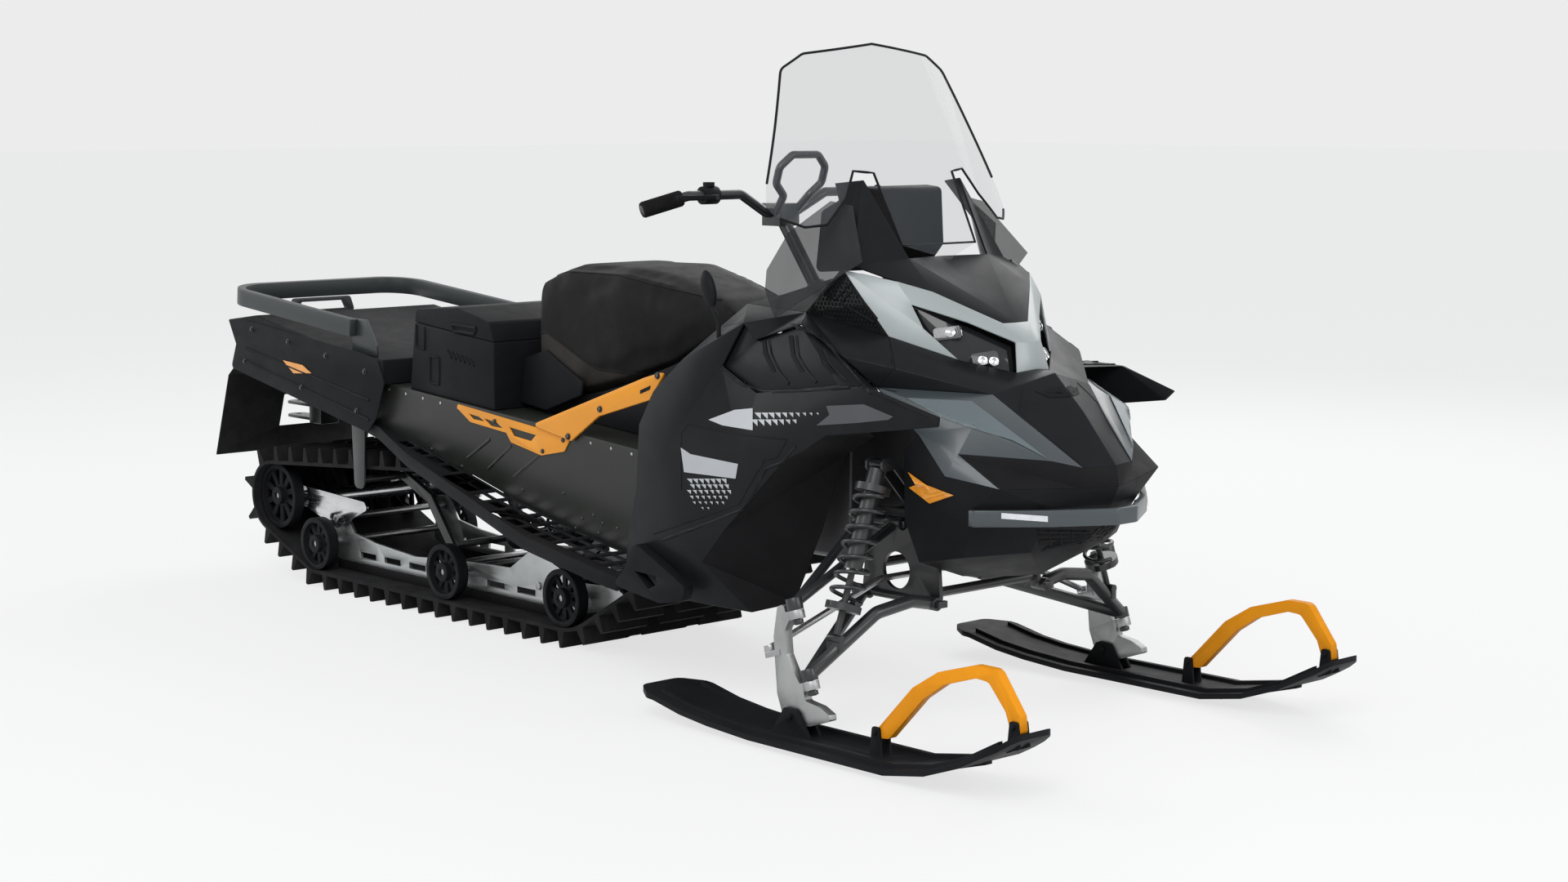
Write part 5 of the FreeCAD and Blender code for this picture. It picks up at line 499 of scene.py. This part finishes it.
def cells(loop, step):
    """A flat loop cut along a grid and into triangles."""
    flat = bmesh.new()
    flat.faces.new([flat.verts.new((u, v, 0)) for u, v in loop])
    for axis in (0, 1):
        values = [point[axis] for point in loop]
        place = min(values) + step
        while place < max(values):
            spot, way = [0, 0, 0], [0, 0, 0]
            spot[axis], way[axis] = place, 1
            bmesh.ops.bisect_plane(
                flat, geom=flat.verts[:] + flat.edges[:] + flat.faces[:], plane_co=spot, plane_no=way, dist=0.00001,
            )
            place += step
    bmesh.ops.triangulate(flat, faces=flat.faces)
    return flat


def view_film(name, targets, loops, material, step, lift):
    """Thin film on both sides: loops in the photograph's frame, cut into cells and laid on the targets."""
    targets = [dressed_nodes[target] for target in targets]

    def build(form):
        for loop in loops:
            flat = cells(loop, step)
            moved = {}
            for vert in flat.verts:
                hit = seen(targets, vert.co.x, vert.co.y)
                if hit:
                    moved[vert] = form.verts.new(hit[0] + hit[1] * lift)
            for face in flat.faces:
                places = [moved.get(vert) for vert in face.verts]
                if all(places) and max((a.co - b.co).length for a in places for b in places) < FILM_JUMP:
                    form.faces.new(places)
            flat.free()
        other_side(form)
    obj = piece(name, mesh_from(name, build), material)
    solid = obj.modifiers.new("film", "SOLIDIFY")
    solid.thickness = lift * 0.5
    solid.offset = 0
    apply_modifiers(obj)
    shade(obj, 30)


def view_lines(name, targets, lines, radius, material, sink=0.3, body="chassis"):
    """Narrow beads along chains of places in the photograph's frame, on both sides; sunk they read as seams."""
    targets = [dressed_nodes[target] for target in targets]

    def build(form):
        for line in lines:
            places = []
            for a, b in zip(line, line[1:]):
                count = max(2, int(math.dist(a, b) / BEAD_STEP))
                for i in range(count + (b == line[-1])):
                    hit = seen(targets, a[0] + (b[0] - a[0]) * i / count, a[1] + (b[1] - a[1]) * i / count)
                    if hit:
                        places.append(hit[0] - hit[1] * radius * sink)
            if len(places) > 2:
                add_tube(form, places, radius, 6)
        other_side(form)
    piece(name, mesh_from(name, build), material, body, 60)


def view_rivets(name, target, places, radius, material):
    """Rivets on both sides, at places in the photograph's frame."""
    def build(form):
        for place in places:
            hit = seen([dressed_nodes[target]], *place)
            if hit:
                add_rivet(form, hit[0], hit[1], radius)
        other_side(form)
    piece(name, mesh_from(name, build), material, smooth=35)


def big_faces(obj, least, test):
    """The large flat faces of a piece that pass a test of their normal and centre."""
    faces = []
    for face in obj.data.polygons:
        if face.area > least and test(face.normal, face.center):
            faces.append(([obj.data.vertices[i].co.copy() for i in face.vertices], face.normal.copy()))
    return faces


def add_honeycomb(form, corners, normal, cell, wire, deep):
    """A sheet of six-sided cells over a flat face."""
    across, up = frame_for(normal)
    origin = sum(corners, Vector()) / len(corners)
    loop = [((c - origin).dot(across), (c - origin).dot(up)) for c in corners]
    low = [min(p[k] for p in loop) for k in (0, 1)]
    high = [max(p[k] for p in loop) for k in (0, 1)]
    rows = int((high[1] - low[1]) / (cell * 1.5)) + 2
    columns = int((high[0] - low[0]) / (cell * math.sqrt(3))) + 2
    for row in range(rows):
        for column in range(columns):
            u = low[0] + (column + 0.5 * (row % 2)) * cell * math.sqrt(3)
            v = low[1] + row * cell * 1.5
            turns = [math.pi / 3 * k for k in range(6)]
            ring = [(u + cell * 0.9 * math.sin(a), v + cell * 0.9 * math.cos(a)) for a in turns]
            if not all(inside(p, loop) for p in ring):
                continue
            outer, inner = [], []
            for a in turns:
                for radius, group in ((cell + wire * 0.5, outer), (cell - wire, inner)):
                    flat = origin + across * (u + radius * math.sin(a)) + up * (v + radius * math.cos(a))
                    group.append((form.verts.new(flat + normal * deep), form.verts.new(flat)))
            for k in range(6):
                n = (k + 1) % 6
                form.faces.new((outer[k][0], outer[n][0], inner[n][0], inner[k][0]))
                form.faces.new((inner[k][0], inner[n][0], inner[n][1], inner[k][1]))


# Seat: a padded cushion made with cloth, its seams and its lower band

CLOTH_FRAMES = 20
SEAM_STEP = 0.012


def pillow(source, name, shrink, voxel, pressure, cap):
    """A copy of a soft CAD solid, swelled as cloth within a cap, and smoothed."""
    form = node_mesh(source)
    bmesh.ops.recalc_face_normals(form, faces=form.faces)
    mesh = bpy.data.meshes.new(name)
    form.to_mesh(mesh)
    form.free()
    obj = bpy.data.objects.new(name, mesh)
    bpy.context.scene.collection.objects.link(obj)
    remesh = obj.modifiers.new("even", "REMESH")
    remesh.mode = "VOXEL"
    remesh.voxel_size = voxel
    apply_modifiers(obj)
    inset = obj.modifiers.new("inset", "DISPLACE")
    inset.strength = -shrink
    inset.mid_level = 0
    soften = obj.modifiers.new("soften", "SMOOTH")
    soften.factor = 0.5
    soften.iterations = 12
    apply_modifiers(obj)
    start = [vert.co.copy() for vert in obj.data.vertices]
    cloth = obj.modifiers.new("cloth", "CLOTH")
    cloth.settings.use_pressure = True
    cloth.settings.uniform_pressure_force = pressure
    cloth.settings.effector_weights.gravity = 0
    cloth.settings.quality = 4
    cloth.collision_settings.use_collision = False
    scene = bpy.context.scene
    for step in range(1, CLOTH_FRAMES + 1):
        scene.frame_set(step)
    apply_modifiers(obj)
    for vert, place in zip(obj.data.vertices, start):
        move = vert.co - place
        if move.length > cap:
            vert.co = place + move.normalized() * cap
    scene.frame_set(1)
    ease = obj.modifiers.new("ease", "SMOOTH")
    ease.factor = 0.5
    ease.iterations = 14
    finer = obj.modifiers.new("finer", "SUBSURF")
    finer.levels = 1
    apply_modifiers(obj)
    return obj


def band_top(x):
    """Height of the seat's lower grey band at a place along the seat."""
    line = (
        (-0.27, 0.742), (-0.21, 0.748), (-0.14, 0.72), (-0.03, 0.672), (0.1, 0.668), (0.25, 0.7), (0.45, 0.74),
    )
    if x <= line[0][0]:
        return 0
    for (x0, z0), (x1, z1) in zip(line, line[1:]):
        if x <= x1:
            return z0 + (z1 - z0) * (x - x0) / (x1 - x0)
    return line[-1][1]


def seat():
    low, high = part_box("seat_cushion")
    obj = pillow("seat_cushion", "seat_pad", 0.007, 0.008, 4.0, 0.009)
    obj.data.materials.clear()
    for material in (HIDE, HIDE_BAND):
        obj.data.materials.append(material)
    for face in obj.data.polygons:
        side = abs(face.center.y) > (high.y - low.y) * 0.3
        face.material_index = 1 if side and face.center.z < band_top(face.center.x) else 0
    shade(obj, 180)
    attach(obj, "chassis")
    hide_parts("seat_cushion")
    return obj, low, high


seat_pad, seat_low, seat_high = seat()


def seam_places(shares, side):
    """Places of a seam on the pad's side, each at shares of its length and height."""
    long = seat_high.x - seat_low.x
    tall = seat_high.z - seat_low.z
    corners = [(seat_low.x + long * a, 0, seat_low.z + tall * b) for a, b in shares]
    hits = [from_side(seat_pad, place.x, place.z, side) for place in along(corners, SEAM_STEP)]
    return [hit[0] for hit in hits if hit]


def band_seam(side):
    """The seam along the top of the lower band."""
    xs = [x for x in (-0.262 + i * SEAM_STEP for i in range(60)) if x < seat_high.x - 0.06]
    hits = [from_side(seat_pad, x, band_top(x), side) for x in xs]
    return [hit[0] for hit in hits if hit]


def seat_seams():
    top = ((0.06, 0.87), (0.22, 0.95), (0.5, 0.95), (0.66, 0.89), (0.9, 0.8))

    def build(form):
        for side in (-1, 1):
            for run in (band_seam(side), seam_places(top, side)):
                add_tube(form, run, 0.0024, 8)
    piece("seat_piping", mesh_from("seat_piping", build), HIDE, smooth=50)


seat_seams()


# Rubber rings on the grips

def grip_rings():
    count = 22
    profile = ((0, 0.0168), (0.0004, 0.0183), (0.0018, 0.0183), (0.0024, 0.0168))
    for side, word in ((-1, "right"), (1, "left")):
        outer = Vector((0.402, 0.386 * side, 1.066))
        inner = Vector((0.4347, 0.2991 * side, 1.0918))

        def build(form):
            way = inner - outer
            for i in range(count):
                place = outer + way * ((i + 1.2) / (count + 1.4))
                add_turned(form, place - way.normalized() * 0.0012, way.normalized(), profile, 24)

        piece(f"grip_rings_{word}", mesh_from("grip_rings", build), GRIP_RUBBER, "steering_bar", 50)


grip_rings()


# Honeycomb in the inlets

def inlets():
    heart = Vector((0.9, 0, 0.8))

    def build(form):
        faces = big_faces(
            dressed_nodes["inlet_grilles"], 0.0006, lambda n, c: n.dot(c - heart) > 0 and n.z > -0.5,
        )
        for corners, normal in faces:
            add_honeycomb(form, corners, normal, 0.0062, 0.0009, 0.0016)
    piece("inlet_honeycomb", mesh_from("inlet_honeycomb", build), GLOSS_BLACK)


inlets()


# Bolts and rivets

def on_side(target, x, z, side):
    hit = from_side(dressed_nodes[target], x, z, side)
    return hit if hit and abs(hit[1].y) > 0.3 else None


def fasteners(name, target, places, radius, material, add):
    """Heads on both sides of a node, at places of its side view."""
    def build(form):
        for x, z in places:
            for side in (-1, 1):
                hit = on_side(target, x, z, side)
                if hit:
                    add(form, hit[0], hit[1], radius)
    piece(name, mesh_from(name, build), material, smooth=35)


def tunnel_top(x):
    """Height of the tunnel's sloping top edge."""
    low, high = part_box("tunnel")
    return high.z - (x - low.x) * 0.0733


def tunnel_fasteners():
    row = [(x, tunnel_top(x) - 0.014) for x in (-1.43 + 0.075 * i for i in range(25))]
    tail = (
        (-1.36, 0.69), (-1.18, 0.668), (-1.0, 0.643), (-0.82, 0.615), (-1.40, 0.60), (-1.12, 0.55), (-0.86, 0.51),
    )
    trims = ((-0.462, 0.552), (-0.3, 0.531), (-0.03, 0.51), (-0.11, 0.476))
    braces = ((-0.125, 0.527), (0.0, 0.522), (0.328, 0.69), (0.12, 0.597))
    fasteners("tunnel_rivets", "tunnel", row, 0.0042, STEEL, add_rivet)
    fasteners("tail_bolts", "tail_panels", tail, 0.0055, BLACK_STEEL, add_bolt)
    fasteners("trim_bolts", "tunnel_trims", trims, 0.0045, BLACK_STEEL, add_bolt)
    fasteners("brace_bolts", "frame_braces", braces, 0.006, BLACK_STEEL, add_bolt)


tunnel_fasteners()


def tunnel_ribs():
    """Pressed diagonal ribs and low rivets on the tunnel's sides."""
    view_lines("tunnel_ribs", ["tunnel"], [
        [(572, 561), (600, 538)], [(598, 574), (626, 546)], [(629, 584), (662, 556)],
    ], 0.005, TUNNEL, 0.4)
    view_rivets("tunnel_low_rivets", "tunnel", [
        (566, 571), (529, 550), (713, 635), (727, 631), (738, 641),
        (756, 647), (705, 647), (733, 653), (690, 604), (640, 600),
    ], 0.0046, BLACK_STEEL)


tunnel_ribs()


# Printed film: silver swoosh with halftone on the side panels

SILVER = paint("silver_film", (0.5, 0.52, 0.54), 0.4, 0.2)
FILM_GREY = paint("grey_film", (0.055, 0.058, 0.066), 0.36, 0.3)


def halftone(loop, step, share):
    """Small triangles in rows over a loop; share gives their size from 0 to 1 at each place."""
    us, vs = [u for u, v in loop], [v for u, v in loop]
    shapes = []
    v, row = min(vs), 0
    while v < max(vs):
        u = min(us) + (row % 2) * step * 0.5
        while u < max(us):
            size = step * 0.95 * share(u, v)
            corners = [(u, v), (u + size, v), (u + size, v + size)]
            if size > step * 0.2 and all(inside(corner, loop) for corner in corners):
                shapes.append(corners)
            u += step
        v += step
        row += 1
    return shapes


def side_film():
    side = ["side_panels"]
    head = [(868, 514), (900, 502), (922, 500), (922, 527), (885, 521)]
    tail = [(920, 500), (960, 497), (1008, 500), (1012, 506), (990, 516), (960, 524), (920, 528)]
    wing = [(1012, 497), (1058, 495), (1094, 510), (1088, 514), (1048, 518), (1000, 521), (1016, 508)]
    patch = [(834, 548), (846, 556), (904, 568), (901, 586), (838, 578)]
    fade = [(838, 579), (901, 587), (893, 620), (862, 625), (843, 612)]
    dots = halftone(tail, 8.4, lambda u, v: min(1, 1.1 - (u - 925) / 100))
    dots += halftone(fade, 7, lambda u, v: min(1, 1.08 - (v - 580) / 60))
    view_film("side_film", side, [head, patch], SILVER, 8, 0.001)
    view_film("side_halftone", side, dots, SILVER, 40, 0.001)
    view_film("wing_film", side, [wing], FILM_GREY, 8, 0.0009)
    view_lines("panel_grooves", side, [
        [(842, 520), (913, 533), (964, 538), (952, 560), (936, 563), (905, 617), (867, 631), (800, 654)],
        [(842, 520), (834, 530), (834, 600)],
    ], 0.0026, DEEP_BLACK, 0.5)
    view_lines("panel_ridges", side, [
        [(974, 547), (958, 566), (938, 574), (913, 622), (880, 636), (812, 661)],
    ], 0.0044, SATIN_BLACK, 0.5)
    view_lines("vent_frame", ["vent_panels", "side_panels", "shoulder_panels"], [
        [(881, 450), (908, 471), (936, 480), (990, 478), (1040, 474)],
        [(969, 396), (1007, 413), (1042, 455), (1066, 482)],
    ], 0.0042, SATIN_BLACK, 0.4)


side_film()


# A painted highlight on the fairing, seams and openings of the cowl, placed by the photograph's view

# Painted highlight: a lighter copy of the slate paint, where the sky's reflection falls along the fairing's crease
HIGHLIGHT_SLATE = paint("slate_painted_highlight", (0.12, 0.155, 0.168), 0.36, 0.2)
# Painted glow: the white reflector shines by itself, though it is no lamp
GLOWING_REFLECTOR = lens_cover("glowing_white_reflector", (0.7, 0.73, 0.75), 0.1, 0.1)


def cowl_details():
    # Painted highlight: lighter slate laid on the fairing's upper facet along the crease
    view_film("fairing_painted_highlight", ["nose_fairings"], [
        [(1110, 488), (1190, 492), (1282, 562), (1240, 540), (1159, 514)],
    ], HIGHLIGHT_SLATE, 6, 0.0016)
    view_film("hood_slot", ["hood"], [
        [(1266, 479), (1290, 481), (1310, 472), (1318, 477), (1310, 486), (1285, 487)],
    ], DEEP_BLACK, 5, 0.001)
    view_film("vent_openings", ["vent_panels"], [
        [(933, 411), (937, 411), (940, 432), (950, 455), (945, 455), (935, 433)],
        [(966, 411), (971, 411), (974, 436), (985, 455), (979, 455), (969, 436)],
        [(1001, 428), (1005, 428), (1012, 445), (1022, 457), (1017, 457), (1007, 446)],
    ], DEEP_BLACK, 6, 0.0012)
    view_lines("vent_blades", ["vent_panels"], [
        [(941, 411), (944, 432), (954, 455), (966, 470)],
        [(975, 411), (978, 436), (989, 455), (1000, 468)],
        [(1009, 428), (1016, 445), (1026, 457), (1036, 466)],
    ], 0.004, SATIN_BLACK, 0.2)
    view_lines("cowl_seams", ["hood", "nose_fairings", "side_panels", "shoulder_panels"], [
        [(1093, 455), (1092, 440), (1073, 474), (1098, 480)],
        [(1252, 476), (1248, 504), (1328, 573)],
        [(1018, 455), (1050, 474), (1138, 512)],
    ], 0.0016, DEEP_BLACK)
    view_lines("inlet_frames", ["inlet_grilles"], [
        [(1010, 358), (1032, 336), (1046, 343), (1024, 367), (1010, 358)],
        [(1030, 371), (1050, 350), (1068, 360), (1078, 388), (1070, 394), (1030, 371)],
    ], 0.0028, BLACK, -0.2)
    # The reflector on the bumper, with a painted glow
    view_film("bumper_reflector", ["front_bumper"], [
        [(1226, 628), (1283, 632), (1283, 639), (1226, 635)],
    ], GLOWING_REFLECTOR, 8, 0.0012)
    view_film("nose_grille", ["belly_pan"], [
        [(1270, 649), (1352, 651), (1350, 662), (1272, 668)],
    ], DEEP_BLACK, 8, 0.001)
    view_lines("nose_grille_bars", ["belly_pan"], [
        [(1272, 655), (1350, 655)], [(1273, 661), (1349, 659)],
        [(1284, 650), (1286, 667)], [(1298, 650), (1300, 666)],
        [(1312, 650), (1314, 665)], [(1328, 650), (1330, 664)],
    ], 0.0022, BLACK, -0.4)
    view_film("marker_faces", ["belly_pan", "marker_lenses"], [
        [(1114, 597), (1128, 591), (1168, 606), (1139, 616)],
    ], GLOWING_AMBER, 5, 0.002)


cowl_details()


# Tail, trims and cargo box

def tail_details():
    # The tail reflectors, with the amber's painted glow
    view_film("tail_reflectors", ["tail_panels"], [
        [(347, 441), (371, 447), (382, 457), (360, 457)],
    ], GLOWING_AMBER, 60, 0.0016)
    view_lines("tail_panel_edges", ["tail_panels"], [
        [(300, 426), (452, 490)], [(296, 440), (452, 514)],
    ], 0.004, BLACK, 0.2)
    view_film("brace_slots", ["frame_braces"], [
        [(724, 505), (729, 508), (796, 477), (797, 472)],
    ], DEEP_BLACK, 60, 0.0007)
    ribs = [[(548 + i * 5.5, 429 + i * 2), (553 + i * 5.5, 438 + i * 2)] for i in range(6)]
    view_lines("box_ribs", ["cargo_box"], [
        [(527, 436), (538, 438), (538, 471), (527, 468), (527, 436)],
        [(510, 392), (510, 424), (520, 428), (520, 396)],
    ] + ribs, 0.0034, BLACK, 0.1)
    view_lines("lid_handle", ["cargo_lid"], [
        [(553, 397), (583, 402)], [(553, 397), (556, 405), (581, 409), (583, 402)],
    ], 0.005, BLACK, 0.0, "box_lid")


tail_details()


# A small control, which stands where the photograph's view meets what carries it

def gear_lever():
    """The short lever with a flat knob that stands beside the seat's front."""
    carriers = [dressed_nodes[name] for name in ("console", "hood", "shoulder_panels", "side_panels")]
    base = seen(carriers, 880, 412)[0]
    knob = (
        Matrix.Translation(base + Vector((-0.032, 0, 0.1))) @ Matrix.Rotation(-0.3, 4, "Y")
        @ Matrix.Diagonal((0.02, 0.012, 0.042, 1))
    )

    def build(form):
        add_tube(form, [base - UP * 0.015, base + UP * 0.03, base + Vector((-0.022, 0, 0.065))], 0.005, 10)
        bmesh.ops.create_icosphere(form, subdivisions=3, radius=1, matrix=knob)
    piece("gear_lever", mesh_from("gear_lever", build), BLACK, smooth=60)


gear_lever()


# Lamps: bright modules behind the lenses

def lamp_modules():
    centres = ((1.128, 0.118, 0.826), (1.112, 0.14, 0.828), (1.166, 0.078, 0.768), (1.15, 0.098, 0.77))
    profile = ((0, 0.0105), (0.0016, 0.0105), (0.0022, 0.0094), (0.0012, 0.0066), (0.0028, 0.003), (0.003, 0))

    def build(form):
        for side in (-1, 1):
            for x, y, z in centres:
                hit = cast(dressed_nodes["headlamps"], (x + 0.3, y * side, z + 0.02), (-1, 0, -0.06))
                if hit:
                    add_turned(form, hit[0] - hit[1] * 0.001, hit[1], profile, 20)
    piece("lamp_modules", mesh_from("lamp_modules", build), POLISHED, smooth=40)


lamp_modules()


# Windshield: the black edging round its upper part

def chained(edges):
    """The edges joined end to end into chains of places."""
    chains = []
    left = dict.fromkeys(edges)
    while left:
        edge = left.popitem()[0]
        chain = list(edge.verts)
        for end in (0, -1):
            grown = True
            while grown:
                grown = False
                tip = chain[end]
                for other in tip.link_edges:
                    if other in left:
                        del left[other]
                        vert = other.other_vert(tip)
                        chain = [vert] + chain if end == 0 else chain + [vert]
                        grown = True
                        break
        chains.append([vert.co.copy() for vert in chain])
    return chains


def shield_edging():
    shield = node_mesh("windshield")
    shield.normal_update()
    rim = [
        edge for edge in shield.edges
        if len(edge.link_faces) == 2 and edge.calc_face_angle(0) > math.radians(50)
        and max(face.normal.x for face in edge.link_faces) > 0.75
    ]
    runs = [[place for place in chain if place.z > 1.0] for chain in chained(rim)]
    shield.free()

    def build(form):
        for run in runs:
            if len(run) > 4:
                places = [place for i, place in enumerate(run) if i == 0 or (place - run[i - 1]).length > 0.0004]
                add_tube(form, [place - Vector((0.0012, 0, 0)) for place in places], 0.0028, 8)
    piece("windshield_edging", mesh_from("windshield_edging", build), BLACK, smooth=60)


shield_edging()


# Floor, light and camera

def seen_plainly(tree):
    """1 for what the camera sees, also in a reflection or through glass; 0 for light on the object."""
    path = tree.nodes.new("ShaderNodeLightPath")
    value = path.outputs["Is Camera Ray"]
    for ray in ("Is Glossy Ray", "Is Transmission Ray"):
        either = tree.nodes.new("ShaderNodeMath")
        either.operation = "MAXIMUM"
        tree.links.new(value, either.inputs[0])
        tree.links.new(path.outputs[ray], either.inputs[1])
        value = either.outputs["Value"]
    return value


FLOOR_SHARE = 0.72  # of the floor's plain white, against its lit surface, in what the camera sees


def stage_floor():
    """A wide pale floor; the camera sees it nearly white while the object sees it plain."""
    material, tree, surface = shader("floor", (0.9, 0.9, 0.9), 0.7)
    white = tree.nodes.new("ShaderNodeEmission")
    white.inputs["Color"].default_value = (1, 1, 1, 1)
    mixed = tree.nodes.new("ShaderNodeMixShader")
    scaled = tree.nodes.new("ShaderNodeMath")
    scaled.operation = "MULTIPLY"
    scaled.inputs[1].default_value = FLOOR_SHARE
    output = tree.nodes["Material Output"]
    tree.links.new(seen_plainly(tree), scaled.inputs[0])
    tree.links.new(scaled.outputs["Value"], mixed.inputs["Fac"])
    tree.links.new(surface.outputs["BSDF"], mixed.inputs[1])
    tree.links.new(white.outputs["Emission"], mixed.inputs[2])
    tree.links.new(mixed.outputs["Shader"], output.inputs["Surface"])

    def build(form):
        reach, height = 60.0, -0.0005
        form.faces.new([
            form.verts.new((x * reach, y * reach, height)) for x, y in ((-1, -1), (1, -1), (1, 1), (-1, 1))
        ])

    floor = bpy.data.objects.new("floor", mesh_from("floor", build))
    bpy.context.scene.collection.objects.link(floor)
    floor.data.materials.append(material)


def lamp(name, place, target, size, power):
    """A soft rectangular lamp that faces a target; its power is in watts."""
    light = bpy.data.lights.new(name, "AREA")
    light.shape = "RECTANGLE"
    light.size, light.size_y = size
    light.energy = power
    obj = bpy.data.objects.new(name, light)
    obj.location = place
    obj.rotation_euler = (Vector(target) - Vector(place)).to_track_quat("-Z", "Y").to_euler()
    bpy.context.scene.collection.objects.link(obj)


def world():
    backdrop = bpy.data.worlds.new("studio")
    backdrop.use_nodes = True
    tree = backdrop.node_tree
    surface = tree.nodes["Background"]
    surface.inputs["Color"].default_value = (0.86, 0.9, 0.95, 1)
    surface.inputs["Strength"].default_value = 0.36
    seen = tree.nodes.new("ShaderNodeBackground")
    seen.inputs["Color"].default_value = (1, 1, 1, 1)
    seen.inputs["Strength"].default_value = 0.84
    mixed = tree.nodes.new("ShaderNodeMixShader")
    tree.links.new(seen_plainly(tree), mixed.inputs["Fac"])
    tree.links.new(surface.outputs["Background"], mixed.inputs[1])
    tree.links.new(seen.outputs["Background"], mixed.inputs[2])
    tree.links.new(mixed.outputs["Shader"], tree.nodes["World Output"].inputs["Surface"])
    bpy.context.scene.world = backdrop


def camera():
    """The photograph's view: right front quarter, a little above the bonnet."""
    lens = bpy.data.cameras.new("camera")
    lens.sensor_width = EYE_WIDE
    lens.lens = EYE_LENS
    obj = bpy.data.objects.new("camera", lens)
    obj.location = EYE
    obj.rotation_euler = EYE_TURN
    bpy.context.scene.collection.objects.link(obj)
    bpy.context.scene.camera = obj


stage_floor()
world()
lamp("key", (3.4, -4.2, 4.6), (0, 0, 0.5), (3.5, 3.5), 185)
lamp("fill", (-4.5, -3.2, 3.4), (0, 0, 0.5), (4, 3), 80)
lamp("back", (-1.5, 4.6, 3.8), (0, 0, 0.6), (5, 2.5), 105)
lamp("front", (6.0, 1.4, 2.6), (0.6, 0, 0.6), (3, 2), 70)
camera()
bpy.context.scene.view_settings.view_transform = "Standard"
